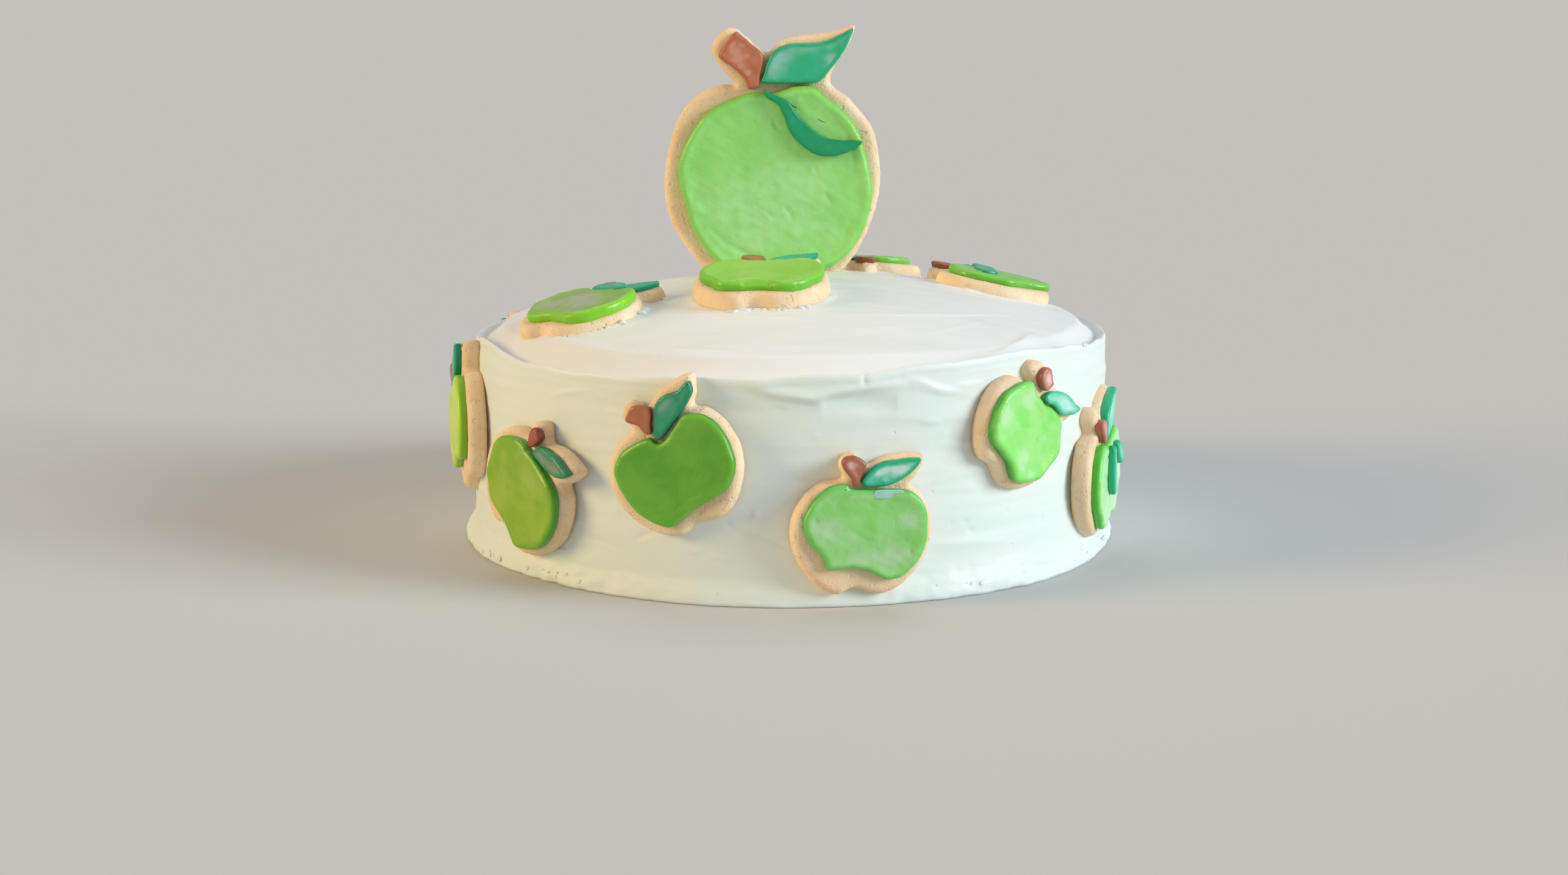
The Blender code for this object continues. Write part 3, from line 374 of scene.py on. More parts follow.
# Marks of the band just under the lip at the front, where the frosting was folded over
FOLD_MARKS = (
    Mark(((-8.2, 78.0), (-5.4, 76.0), (-2.7, 74.6), (4.0, 72.6), (7.0, 74.6), (11.9, 76.2),
          (19.3, 77.0)), 1.30, 1.7),
    Mark(((33.6, 69.6), (25.4, 72.4), (19.3, 75.6), (11.9, 74.6), (7.0, 72.8), (4.0, 71.0),
          (-2.7, 73.0), (-8.2, 76.8)), 0.55, 0.8, "step"),
    Mark(((5.0, 70.6), (11.0, 70.8), (17.5, 70.0)), -1.35, 3.4),
    Mark(((11.8, 78.4), (12.4, 76.2)), -0.70, 0.7),
    Mark(((18.5, 78.6), (21.8, 76.6), (25.3, 73.4), (29.0, 72.0)), 0.60, 1.0),
    Mark(((27.5, 75.0), (33.6, 75.2)), 0.40, 0.6, "step"),
    Mark(((24.0, 79.2), (33.0, 79.8), (44.0, 79.6)), 0.35, 0.8, "step"),
)
TOP_MARKS = (
    Mark(((17.7, -69.4), (38.0, -64.9), (56.9, -57.5), (81.7, -37.8)), 0.55, 1.0),
    Mark(((62.3, -96.9), (72.5, -87.1), (81.8, -73.5), (87.4, -57.7)), 1.20, 1.6, "step"),
    Mark(((-60.9, -83.5), (-39.3, -98.7), (-13.1, -106.9)), 0.60, 1.4),
    Mark(((-36.2, -65.1), (15.4, -76.0)), 0.55, 1.2, "step"),
)
# Seeded streaks of the wall, sweeps over the top and dents in the icing: their ranges in mm
WALL_MARK_COUNT = 30
STREAK_HEIGHTS = (9, 72)
STREAK_REACHES = (8, 30)
STREAK_SLOPES = (-0.10, 0.10)
STREAK_SAGS = (-1.2, 1.2)
STREAK_LIFTS = (0.12, 0.42)
STREAK_WIDTHS = (0.7, 1.4)
TOP_MARK_COUNT = 22
SWEEP_RADII = (25, 104)
SWEEP_DEGREES = (14, 46)
SWEEP_DRIFTS = (-6, 6)
SWEEP_LIFTS = (0.20, 0.62)
SWEEP_WIDTHS = (0.9, 1.7)
DENT_TRIES = 200
DENT_CLEARANCE = 3.0
DENT_HEADINGS = (-1.3, -0.2)
DENT_REACHES = (0.8, 2.6)
DENT_LIFTS = (-1.0, 0.5)
DENT_WIDTHS = (0.45, 0.9)
# Torn lumps on the wall: azimuth, spread, height, rise, count and size in mm
LUMP_BANDS = (
    (-41, 5.0, 3.2, 0.8, 11, 0.8), (-62, 4.0, 2.2, 1.0, 5, 1.0), (31, 4.5, 4.4, 0.9, 8, 0.7),
    (69, 4.0, 5.0, 3.5, 7, 0.9), (64, 3.0, 80.2, 0.5, 5, 0.6), (120, 10.0, 3.0, 1.5, 6, 0.9),
    (165, 12.0, 3.0, 1.5, 8, 0.9), (215, 12.0, 3.0, 1.5, 8, 0.9),
)
# Lumps round biscuits: the biscuit, from and to which direction of its outline, and how many
TOP_LUMPS = ((1, -180, -140, 9), (1, 130, 180, 12), (2, 40, 130, 9), (2, 130, 170, 4), (4, 60, 150, 3))
SIDE_LUMPS = ((6, 95, 150, 5), (2, -160, -120, 2))

# The camera, the lights and the stage, with angles of the lights in degrees
CAMERA_PLACE = (0.0, -1.0, 0.2346)
CAMERA_LENS = 60.5
CAMERA_DIP = 0.197
CAMERA_TURN = 0.0026
SENSOR_WIDTH = 36.0
Light = namedtuple("Light", "name azimuth elevation spread power colour")
LIGHTS = (
    Light("light_right", 72, 20, 26, 2.65, (0.88, 0.95, 1.0)),
    Light("light_left", -74, 20, 26, 1.85, (1.0, 0.69, 0.29)),
    Light("light_above", 190, 66, 40, 0.42, (1.0, 1.0, 1.0)),
)
SKY_COLOUR = (0.93, 0.96, 1.0, 1.0)
SKY_STRENGTH = 0.35
FLOOR_COLOUR = (0.60, 0.60, 0.60, 1.0)
FLOOR_HALF = 40.0
FLOOR_HEIGHT = -0.0002


def key_curve(keys, azimuth):
    """A smooth closed curve through (azimuth, value) keys."""
    start = keys[0][0]
    turned = start + (azimuth - start) % 360
    count = len(keys)
    for index in range(count):
        here = keys[index]
        after = keys[(index + 1) % count]
        end = after[0] if index + 1 < count else start + 360
        if turned <= end:
            share = (turned - here[0]) / (end - here[0])
            eased = share * share * (3 - 2 * share)
            return here[1] + (after[1] - here[1]) * eased
    return keys[0][1]


def dome_height(across, along):
    """Height of the frosting on top of the cake."""
    slopes = DOME_SLOPE_X * across + DOME_SLOPE_Y * along
    falls = DOME_FALL_X * across ** 2 + DOME_FALL_Y * along ** 2
    return DOME_HEIGHT + slopes - falls


def dome_normal(across, along):
    """Upward normal of the frosting on top of the cake."""
    slope_x = DOME_SLOPE_X - 2 * DOME_FALL_X * across
    slope_y = DOME_SLOPE_Y - 2 * DOME_FALL_Y * along
    return Vector((-slope_x, -slope_y, 1.0)).normalized()


def wall_radius(azimuth, height):
    """Radius of the frosted wall, with the thicker foot that the spatula left."""
    share = min(height / key_curve(RIM_HEIGHTS, azimuth), 1.0)
    plain = RADIUS_BASE + (RADIUS_TOP - RADIUS_BASE) * share
    low = min(height / FOOT_HEIGHT, 1.0)
    foot = key_curve(FOOT_REACHES, azimuth) * (1 - low) ** 1.5 * (1 + 2.2 * low)
    return plain + foot


def around(azimuth, radius, height):
    """A point of the cake at an azimuth, radius and height."""
    angle = math.radians(azimuth)
    return Vector((radius * math.sin(angle), -radius * math.cos(angle), height))


def top_height(azimuth, radius):
    """Height of the top inside the lip, where the dome runs out to the rim."""
    place = around(azimuth, radius, 0)
    rim = key_curve(RIM_HEIGHTS, azimuth) - LIP_DROP
    inner = RADIUS_TOP - 3.5 * LIP_WIDTH
    share = max(0.0, min(1.0, (radius - inner) / (2.5 * LIP_WIDTH)))
    return dome_height(place.x, place.y) * (1 - share) + rim * share


def make_frame(place, right, up, outward, turn):
    """A matrix from an origin and three axes, turned about the outward one."""
    axes = Matrix((right, up, outward)).transposed().to_4x4()
    return Matrix.Translation(place) @ axes @ Matrix.Rotation(math.radians(turn), 4, "Z")


def side_frame(biscuit):
    """The frame of a biscuit that leans on the cake's side, with its back on the XY plane."""
    facing = math.radians(biscuit.azimuth + biscuit.swing)
    outward = Vector((math.sin(facing), -math.cos(facing), 0.0))
    right = Vector((math.cos(facing), math.sin(facing), 0.0))
    radius = wall_radius(biscuit.azimuth, biscuit.height) - biscuit.press
    place = around(biscuit.azimuth, radius, biscuit.height)
    return make_frame(place, right, Vector((0, 0, 1)), outward, biscuit.turn)


def top_frame(biscuit):
    """The frame of a biscuit that lies on the top, tilted with the dome and a little more."""
    across, along = biscuit.across, biscuit.along
    tip = Matrix.Rotation(math.radians(biscuit.tip), 3, "X")
    outward = tip @ dome_normal(across, along)
    right = Vector((0, 1, 0)).cross(outward).normalized()
    place = Vector((across, along, dome_height(across, along))) - outward * biscuit.press
    return make_frame(place, right, outward.cross(right), outward, biscuit.turn)


def large_frame():
    """The frame of the large biscuit, whose face looks to the front."""
    back = LARGE_FRONT + LARGE_BISCUIT_THICK
    place = Vector((LARGE_ACROSS, back, LARGE_MIDDLE_HEIGHT))
    return make_frame(place, Vector((1, 0, 0)), Vector((0, 0, 1)), Vector((0, -1, 0)), 0)


def sized(points, size, shift=(0, 0)):
    """An outline at a biscuit's size, shifted by some millimetres."""
    return tuple(((x + shift[0]) * size, (y + shift[1]) * size) for x, y in points)


Shapes = namedtuple("Shapes", "biscuit icing stem leaf")


def own_shapes(number, size):
    """The outlines of a seen side biscuit and of its icing."""
    plain = sized(SMALL_BISCUIT, size)
    own = {
        1: Shapes(plain, ICING_1, STEM_1, LEAF_1),
        2: Shapes(plain, ICING_2, STEM_2, LEAF_2),
        3: Shapes(BISCUIT_3, ICING_3, STEM_3, LEAF_3),
        4: Shapes(plain, sized(SMALL_ICING, size, ICING_4_SHIFT), STEM_4, LEAF_4),
        5: Shapes(plain, ICING_2, STEM_2, LEAF_2),
        6: Shapes(plain, ICING_6, STEM_6, LEAF_6),
    }
    return own[number]


def plain_shapes(size, seed, drop=0.0):
    """The outlines of a biscuit of the common shape, its icing a little different each time."""
    shift = (0, -drop)
    icing = uneven(sized(SMALL_ICING, size), seed, 0.07)
    return Shapes(sized(SMALL_BISCUIT, size), icing, sized(SMALL_STEM, size, shift),
                  sized(SMALL_LEAF, size, shift))


def uneven(points, seed, amount):
    """Shift an icing outline's sides and foot a little, and leave its top as it is."""
    draw = random.Random(seed)
    phases = [draw.uniform(0, 2 * math.pi) for _ in range(3)]
    shifted = []
    for x, y in points:
        angle = math.atan2(y, x)
        wave = sum(math.sin((k + 2) * angle + phases[k]) / (k + 2) for k in range(3))
        free = max(0.0, min(1.0, (12.0 - y) / 8.0))
        scale = 1 + amount * wave * free
        shifted.append((x * scale, y * scale))
    return shifted


def soft_noise(points, wavelengths, seed):
    """Smooth noise from about -1 to 1 at each point, with a wavelength along each axis."""
    scaled = points / np.array(wavelengths, dtype=float) + 7.31 * seed
    return np.array([noise.noise(place) for place in scaled.tolist()])


def layered_noise(points, layers):
    """A sum of noises, each with its height, its wavelengths and its seed."""
    return sum(height * soft_noise(points, waves, seed) for height, waves, seed in layers)


def flat_noise(points, wavelength, seed):
    """Smooth noise at points of a plane."""
    places = np.column_stack((points, np.zeros(len(points))))
    return soft_noise(places, (wavelength, wavelength, wavelength), seed)


def path_distance(points, path):
    """Each point's distance from a path, positive on its left, and its share of the way along."""
    path = np.array(path, dtype=float)
    lengths = np.linalg.norm(np.diff(path, axis=0), axis=1)
    starts = np.concatenate(([0.0], np.cumsum(lengths)))
    best = np.full(len(points), 1e9)
    signed = np.full(len(points), 1e9)
    share = np.zeros(len(points))
    for index, length in enumerate(lengths):
        direction = (path[index + 1] - path[index]) / length
        offset = points - path[index]
        along = np.clip(offset @ direction, 0, length)
        away = offset - along[:, None] * direction
        distance = np.linalg.norm(away, axis=1)
        side = direction[0] * offset[:, 1] - direction[1] * offset[:, 0]
        nearer = distance < best
        best[nearer] = distance[nearer]
        signed[nearer] = (distance * np.where(side >= 0, 1, -1))[nearer]
        share[nearer] = ((starts[index] + along) / starts[-1])[nearer]
    return signed, share


def mark_relief(points, mark):
    """How far one mark lifts the surface at each point, in millimetres."""
    signed, share = path_distance(points, mark.path)
    fade = np.clip(np.sin(np.pi * share), 0, 1) ** 0.6
    if mark.kind == "step":
        sharp = np.exp(-np.abs(signed) / (STEP_SHARP * mark.width))
        soft = np.exp(-np.abs(signed) / (STEP_SOFT * mark.width))
        shape = np.where(signed > 0, sharp, soft)
    else:
        shape = np.exp(-(signed / mark.width) ** 2)
    return mark.height * fade * shape


def smooth_outline(points, gap):
    """A closed Catmull-Rom curve through the points, with corners about a gap apart."""
    corners = [np.array(point, dtype=float) for point in points]
    count = len(corners)
    curve = []
    for index in range(count):
        before, here = corners[index - 1], corners[index]
        after, beyond = corners[(index + 1) % count], corners[(index + 2) % count]
        steps = max(2, round(np.linalg.norm(after - here) / gap))
        for step in range(steps):
            t = step / steps
            bend = 2 * before - 5 * here + 4 * after - beyond
            twist = 3 * here - before - 3 * after + beyond
            curve.append(0.5 * (2 * here + (after - before) * t + bend * t * t + twist * t ** 3))
    curve = np.array(curve)
    following = np.roll(curve, -1, axis=0)
    area = np.sum(curve[:, 0] * following[:, 1] - curve[:, 1] * following[:, 0])
    return curve if area > 0 else curve[::-1]


def inward_normals(outline):
    """The direction into a counter-clockwise outline at each corner."""
    side = np.roll(outline, -1, axis=0) - np.roll(outline, 1, axis=0)
    side /= np.linalg.norm(side, axis=1)[:, None]
    return np.column_stack((-side[:, 1], side[:, 0]))


def ragged(outline, amount, wavelength, seed):
    """The outline with small irregular bumps."""
    bumps = flat_noise(outline, wavelength, seed)
    bumps += 0.5 * flat_noise(outline, wavelength / 2.7, seed + 1)
    return outline - inward_normals(outline) * (amount * bumps)[:, None]


def room_inside(outline):
    """How far it is from each corner, along its inward normal, to the outline's other side."""
    inward = inward_normals(outline)
    starts = outline
    sides = np.roll(outline, -1, axis=0) - starts
    turn = inward[:, None, 0] * sides[None, :, 1] - inward[:, None, 1] * sides[None, :, 0]
    turn[np.abs(turn) < 1e-9] = 1e-9
    reach = starts[None, :, :] - outline[:, None, :]
    along = (reach[:, :, 0] * sides[None, :, 1] - reach[:, :, 1] * sides[None, :, 0]) / turn
    share = (reach[:, :, 0] * inward[:, None, 1] - reach[:, :, 1] * inward[:, None, 0]) / turn
    valid = (along > 1e-6) & (share >= 0) & (share <= 1)
    count = len(outline)
    for offset in (-1, 0):
        valid[np.arange(count), (np.arange(count) + offset) % count] = False
    return np.where(valid, along, 1000.0).min(axis=1)


def edge_distance(points, outline):
    """Distance of each point to a closed outline."""
    starts = outline
    sides = np.roll(outline, -1, axis=0) - starts
    lengths = np.sum(sides ** 2, axis=1)
    best = np.full(len(points), 1e9)
    for start, side, length in zip(starts, sides, lengths):
        offset = points - start
        along = np.clip(offset @ side / length, 0, 1)
        best = np.minimum(best, np.linalg.norm(offset - along[:, None] * side, axis=1))
    return best


def inside(points, outline):
    """Which points lie inside a closed outline."""
    following = np.roll(outline, -1, axis=0)
    within = np.zeros(len(points), dtype=bool)
    for (ax, ay), (bx, by) in zip(outline, following):
        if ay == by:
            continue
        spans = (points[:, 1] < max(ay, by)) & (points[:, 1] >= min(ay, by))
        crossing = ax + (points[:, 1] - ay) * (bx - ax) / (by - ay)
        within ^= spans & (points[:, 0] < crossing)
    return within


def grid_inside(ring, gap):
    """Points in staggered rows inside a closed ring, clear of its edge."""
    low, high = ring.min(axis=0), ring.max(axis=0)
    rows = []
    for number, y in enumerate(np.arange(low[1] + gap, high[1], gap * 0.87)):
        start = low[0] + gap * (0.5 + 0.5 * (number % 2))
        xs = np.arange(start, high[0], gap)
        rows.append(np.column_stack((xs, np.full(len(xs), y))))
    points = np.concatenate(rows) if rows else np.zeros((0, 2))
    points = points[inside(points, ring)]
    if len(points) == 0:
        return points
    return points[edge_distance(points, ring) > 0.62 * gap]


def fill_ring(ring, gap):
    """Points and triangles that fill a closed ring; the ring's own points come first."""
    extra = grid_inside(ring, gap) if gap else np.zeros((0, 2))
    places = [Vector(point) for point in np.concatenate((ring, extra)).tolist()]
    found = delaunay_2d_cdt(places, [], [list(range(len(ring)))], 1, 1e-6)
    points = np.array([list(point) for point in found[0]])
    return points, [list(face) for face in found[2]]


Profile = namedtuple("Profile", "levels gap ragged ragged_wave face_noise")


def ring_faces(rings, count):
    """The faces between rings that have the same number of points each."""
    faces = []
    for low in range(0, (rings - 1) * count, count):
        for index in range(count):
            after = (index + 1) % count
            faces.append((low + index, low + after, low + count + after, low + count + index))
    return faces


def slab_parts(outline, piece, relief):
    """Points (mm), faces, edge distances and level shares of one piece.

    The profile's levels are (share of the thickness, inset in mm) from the back to the front.
    """
    profile = piece.profile
    outline = ragged(outline, profile.ragged, profile.ragged_wave, piece.seed)
    inward = inward_normals(outline)
    room = ROOM_SHARE * room_inside(outline)
    count = len(outline)
    flats, shares, edges = [], [], []
    for share, inset in profile.levels:
        depth = np.minimum(inset, room)
        flats.append(outline + inward * depth[:, None])
        shares.append(np.full(count, share))
        edges.append(depth)
    faces = ring_faces(len(profile.levels), count)
    front = count * (len(profile.levels) - 1)
    filled, triangles = fill_ring(flats[-1], profile.gap)
    faces.extend(tuple(front + corner for corner in triangle) for triangle in triangles)
    inner = filled[count:]
    flats.append(inner)
    shares.append(np.full(len(inner), profile.levels[-1][0]))
    edges.append(edge_distance(inner, outline) if len(inner) else np.zeros(0))
    _, back_triangles = fill_ring(flats[0], 0)
    faces.extend(tuple(reversed(triangle)) for triangle in back_triangles)
    flat, share, edge = np.concatenate(flats), np.concatenate(shares), np.concatenate(edges)
    weight = np.clip(share, 0, 1) ** 1.5
    height = piece.base + share * piece.thick + weight * relief(flat, edge)
    return np.column_stack((flat, height)), faces, edge, share


def push_noise(points, faces, amount, wavelength, seed):
    """Points moved along their normals by fine noise, so that a crust isn't smooth."""
    normals = point_normals(points, faces)
    waves = soft_noise(points, (wavelength,) * 3, seed)
    waves += 0.5 * soft_noise(points, (wavelength / 2.3,) * 3, seed + 3)
    return points + normals * (amount * waves)[:, None]


def point_normals(points, faces):
    """Area-weighted normals of the points of a mesh."""
    normals = np.zeros_like(points)
    for size in (3, 4):
        corners = np.array([face for face in faces if len(face) == size])
        if len(corners) == 0:
            continue
        a, b, c = points[corners[:, 0]], points[corners[:, 1]], points[corners[:, -1]]
        crossed = np.cross(b - a, c - a)
        for corner in range(size):
            np.add.at(normals, corners[:, corner], crossed)
    lengths = np.linalg.norm(normals, axis=1)
    lengths[lengths == 0] = 1
    return normals / lengths[:, None]


def to_object(name, points, faces, material, attributes):
    """A smooth mesh object from points in metres, with its values for the materials."""
    mesh = bpy.data.meshes.new(name)
    mesh.from_pydata(points.tolist(), [], faces)
    mesh.materials.append(material)
    for label, values in attributes.items():
        held = mesh.attributes.new(label, "FLOAT", "POINT")
        held.data.foreach_set("value", np.asarray(values, dtype=np.float32))
    mesh.shade_smooth()
    return add_object(name, mesh)


def paleness(flat, patches, seed):
    """How far each point lies in one of a piece's pale patches, from 0 to 1."""
    total = np.zeros(len(flat))
    for x, y, reach in patches:
        away = np.linalg.norm((flat - (x, y)) * (0.8, 1.15), axis=1) / reach
        total = np.maximum(total, np.exp(-(away ** 2)))
    return np.clip(total * (1 + 0.8 * flat_noise(flat, 4.0, seed)), 0, 1)


def stand_in(made, node):
    """A finished piece takes a node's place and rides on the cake."""
    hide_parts(node)
    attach(made, "root")


Piece = namedtuple("Piece", "name points profile thick base material slot node seed")
# How many small dents a piece has and how deep they are, in millimetres
Dents = namedtuple("Dents", "count depth")
NO_DENTS = Dents(0, 0.0)


def add_piece(piece, place, marks=(), dents=NO_DENTS, rim=0.0, hollow=0.0, crust=0.0, seeds=None):
    """One biscuit or piece of icing (mm), finished and placed in a frame, for its node.

    The seeds of the dents and of the relief are given where they aren't the piece's own.
    """
    dent_seed, relief_seed = seeds or (piece.seed, piece.seed)
    outline = smooth_outline(piece.points, OUTLINE_GAP)
    marks = tuple(marks) + pressed_marks(outline, dents, dent_seed)
    relief = face_relief(piece.profile.face_noise, relief_seed, marks, rim, hollow)
    points, faces, edge, share = slab_parts(outline, piece, relief)
    if crust:
        points = push_noise(points, faces, crust, CRUST_WAVE, piece.seed + 5)
    matrix = np.array(place)
    placed = (points * MM) @ matrix[:3, :3].T + matrix[:3, 3]
    pale = paleness(points[:, :2], PALE_PATCHES.get(piece.name, ()), piece.seed + 60)
    values = {"edge": edge, "level": share, "pale": pale}
    stand_in(to_object(piece.name, placed, faces, piece.material, values), piece.node)


# Rounded sections of the pieces, from the back to the front
BISCUIT_LEVELS = (
    (0.0, 1.3), (0.05, 0.7), (0.14, 0.25), (0.28, 0.0), (0.52, 0.0), (0.68, 0.15), (0.80, 0.45),
    (0.89, 0.95), (0.96, 1.65), (1.0, 2.6),
)
ICING_LEVELS = (
    (-0.42, 0.9), (0.0, 0.25), (0.22, 0.0), (0.50, 0.0), (0.70, 0.10), (0.84, 0.30), (0.93, 0.65),
    (0.98, 1.15), (1.0, 1.9),
)
SPRIG_LEVELS = (
    (-0.42, 0.6), (0.0, 0.12), (0.25, 0.0), (0.55, 0.0), (0.75, 0.12), (0.89, 0.34), (0.97, 0.70),
    (1.0, 1.2),
)
BISCUIT_PROFILE = Profile(BISCUIT_LEVELS, 1.10, 0.14, 3.8, 0.16)
ICING_PROFILE = Profile(ICING_LEVELS, 0.72, 0.20, 4.6, 0.34)
SPRIG_PROFILE = Profile(SPRIG_LEVELS, 0.58, 0.14, 3.0, 0.20)
LARGE_BISCUIT_PROFILE = Profile(BISCUIT_LEVELS, 1.30, 0.26, 3.6, 0.18)
LARGE_ICING_PROFILE = Profile(ICING_LEVELS, 0.80, 0.34, 6.0, 0.34)

# Where the front of one green icing on the top is torn, in millimetres
TORN_MARKS = (
    Mark(((-13.4, -18.8), (-8.6, -18.4), (-3.4, -16.4), (3.4, -17.6), (8.4, -19.8)), -1.60, 1.2),
    Mark(((-12.4, -15.8), (-5.0, -13.8), (3.0, -14.6)), 0.55, 1.1),
    Mark(((-6.6, -17.6), (-5.2, -15.0)), -0.90, 0.7),
    Mark(((2.2, -17.8), (3.4, -15.6)), -0.90, 0.7),
)

# The large green icing's own marks, in millimetres about the apple's middle
LARGE_ICING_MARKS = (
    Mark(((13.4, 39.4), (20.0, 34.2), (26.6, 29.0), (32.6, 22.4), (36.0, 13.1), (36.4, 3.2),
          (35.2, -6.1)), 0.75, 2.2),
    Mark(((14.7, 37.8), (20.0, 33.0), (24.0, 29.6), (28.6, 23.4), (31.0, 18.4), (32.2, 8.0)),
         -0.35, 1.0),
    Mark(((30.8, -10.8), (29.1, -15.5), (27.0, -20.2)), -0.45, 1.2),
    Mark(((-24.5, -14.1), (-17.8, -20.8), (-9.2, -24.9), (0.2, -25.9)), -0.55, 1.1),
    Mark(((-26.0, -15.6), (-19.4, -22.6), (-10.0, -27.2), (1.0, -28.4)), 0.35, 2.0),
    Mark(((-33.0, 7.0), (-32.4, 3.2), (-30.6, -0.4)), 0.65, 2.2),
    Mark(((-30.4, -4.6), (-28.8, -7.5), (-26.8, -10.4)), 0.65, 2.2),
    Mark(((9.1, 32.9), (10.8, 36.8), (13.4, 38.8)), 0.40, 0.9),
    Mark(((0.2, 26.6), (0.9, 25.2), (2.4, 23.6)), -0.40, 0.6),
    Mark(((16.2, 9.6), (17.1, 7.4), (18.0, 5.8)), -0.45, 0.6),
    Mark(((20.4, -0.6), (22.1, -3.4), (23.4, -6.0)), -0.50, 0.8),
    Mark(((4.6, -6.2), (6.8, -8.6), (8.2, -12.6)), -0.45, 0.9),
    Mark(((-2.4, -8.0), (-1.0, -9.4), (0.6, -10.6)), -0.35, 0.7),
)


# The direction in which the icing was spread, the one across it, and its streaks
SPREAD_ALONG = np.array((0.85, -0.52))
SPREAD_ACROSS = np.array((0.52, 0.85))
SPREAD_SHRINK = (0.30, 1.5)
STREAK_WAVE = 3.2
STREAK_SHARE = 0.45
# Unevenness of the icing's front, its puffed rim and the hollow inside that, in millimetres
BROAD_WAVE = 10.0
SMALL_WAVE = 3.4
SMALL_SHARE = 0.35
RIM_WAVE = 9.0
RIM_UNEVENNESS = 0.6
RIM_INSET = 2.2
RIM_WIDTH = 1.3
HOLLOW_START = 1.8
HOLLOW_RUN = 3.0


def face_relief(roughness, seed, marks, rim, hollow):
    """The relief of a piece's front: soft unevenness, a puffed rim and pressed marks."""
    def relief(flat, edge):
        broad = roughness * flat_noise(flat, BROAD_WAVE, seed)
        small = SMALL_SHARE * roughness * flat_noise(flat, SMALL_WAVE, seed + 2)
        spread = np.column_stack((flat @ SPREAD_ALONG, flat @ SPREAD_ACROSS)) * SPREAD_SHRINK
        small += STREAK_SHARE * roughness * flat_noise(spread, STREAK_WAVE, seed + 6)
        puffed = 1 + RIM_UNEVENNESS * flat_noise(flat, RIM_WAVE, seed + 4)
        lift = rim * np.exp(-((edge - RIM_INSET) / RIM_WIDTH) ** 2) * puffed
        sunk = -hollow * (1 - np.exp(-np.maximum(edge - HOLLOW_START, 0) / HOLLOW_RUN))
        total = broad + small + lift + sunk
        for mark in marks:
            total = total + mark_relief(flat, mark)
        return total
    return relief


def pressed_marks(outline, dents, seed):
    """Short seeded dents inside an outline, as fingers and the spatula leave."""
    draw = random.Random(seed)
    low, high = outline.min(axis=0), outline.max(axis=0)
    marks = []
    for _ in range(DENT_TRIES):
        if len(marks) == dents.count:
            break
        x, y = draw.uniform(low[0], high[0]), draw.uniform(low[1], high[1])
        spot = np.array([[x, y]])
        if not inside(spot, outline)[0] or edge_distance(spot, outline)[0] < DENT_CLEARANCE:
            continue
        heading = draw.uniform(*DENT_HEADINGS)
        reach = draw.uniform(*DENT_REACHES)
        path = ((x, y), (x + reach * math.cos(heading), y + reach * math.sin(heading)))
        lift = draw.uniform(*DENT_LIFTS) * dents.depth
        marks.append(Mark(path, lift, draw.uniform(*DENT_WIDTHS)))
    return tuple(marks)


# Places of a colour mix's inputs and output among its sockets
MIX_FIRST = 6
MIX_SECOND = 7
MIX_RESULT = 2


def new_material(name, roughness):
    """A Principled material, its node tree and its shader."""
    made = bpy.data.materials.new(name)
    made.use_nodes = True
    shader = made.node_tree.nodes["Principled BSDF"]
    shader.inputs["Roughness"].default_value = roughness
    return made, made.node_tree, shader


def join(tree, socket, target):
    """A socket or a plain value goes into an input."""
    if isinstance(socket, bpy.types.NodeSocket):
        tree.links.new(socket, target)
    elif isinstance(socket, tuple):
        target.default_value = (*socket, 1.0)
    else:
        target.default_value = socket


def noise_value(tree, wavelength, detail, shift, stretch=(1, 1, 1), distortion=0.0):
    """A noise value over the object's own coordinates, with a wavelength in metres."""
    coordinates = tree.nodes.new("ShaderNodeTexCoord")
    mapping = tree.nodes.new("ShaderNodeMapping")
    mapping.inputs["Location"].default_value = (shift, 0.7 * shift, -0.4 * shift)
    mapping.inputs["Scale"].default_value = stretch
    made = tree.nodes.new("ShaderNodeTexNoise")
    made.inputs["Scale"].default_value = 1 / wavelength
    made.inputs["Detail"].default_value = detail
    made.inputs["Distortion"].default_value = distortion
    tree.links.new(coordinates.outputs["Object"], mapping.inputs["Vector"])
    tree.links.new(mapping.outputs["Vector"], made.inputs["Vector"])
    return made.outputs["Fac"]


def attribute_value(tree, name):
    """A value that the mesh keeps at its points."""
    made = tree.nodes.new("ShaderNodeAttribute")
    made.attribute_name = name
    return made.outputs["Fac"]


def ranged(tree, value, low, high, to_low=0.0, to_high=1.0):
    """A value carried from one range to another, clamped and smoothed."""
    made = tree.nodes.new("ShaderNodeMapRange")
    made.interpolation_type = "SMOOTHSTEP"
    join(tree, value, made.inputs["Value"])
    made.inputs["From Min"].default_value = low
    made.inputs["From Max"].default_value = high
    made.inputs["To Min"].default_value = to_low
    made.inputs["To Max"].default_value = to_high
    return made.outputs["Result"]


def combined(tree, first, second, operation="ADD"):
    """Two values added, or joined by another operation."""
    made = tree.nodes.new("ShaderNodeMath")
    made.operation = operation
    join(tree, first, made.inputs[0])
    join(tree, second, made.inputs[1])
    return made.outputs[0]


def blend_colour(tree, factor, first, second):
    """A colour between two, by a factor."""
    made = tree.nodes.new("ShaderNodeMix")
    made.data_type = "RGBA"
    join(tree, factor, made.inputs[0])
    join(tree, first, made.inputs[MIX_FIRST])
    join(tree, second, made.inputs[MIX_SECOND])
    return made.outputs[MIX_RESULT]


def tinted(tree, tone, colour, value, low, high, share=1.0):
    """A tone that turns into a colour, at most by a share, as a value goes from low to high."""
    return blend_colour(tree, ranged(tree, value, low, high, 0.0, share), tone, colour)


def soften(shader, weight, radius, scale):
    """Light that goes a little way into a material, with its scale in metres."""
    shader.inputs["Subsurface Weight"].default_value = weight
    shader.inputs["Subsurface Radius"].default_value = radius
    shader.inputs["Subsurface Scale"].default_value = scale


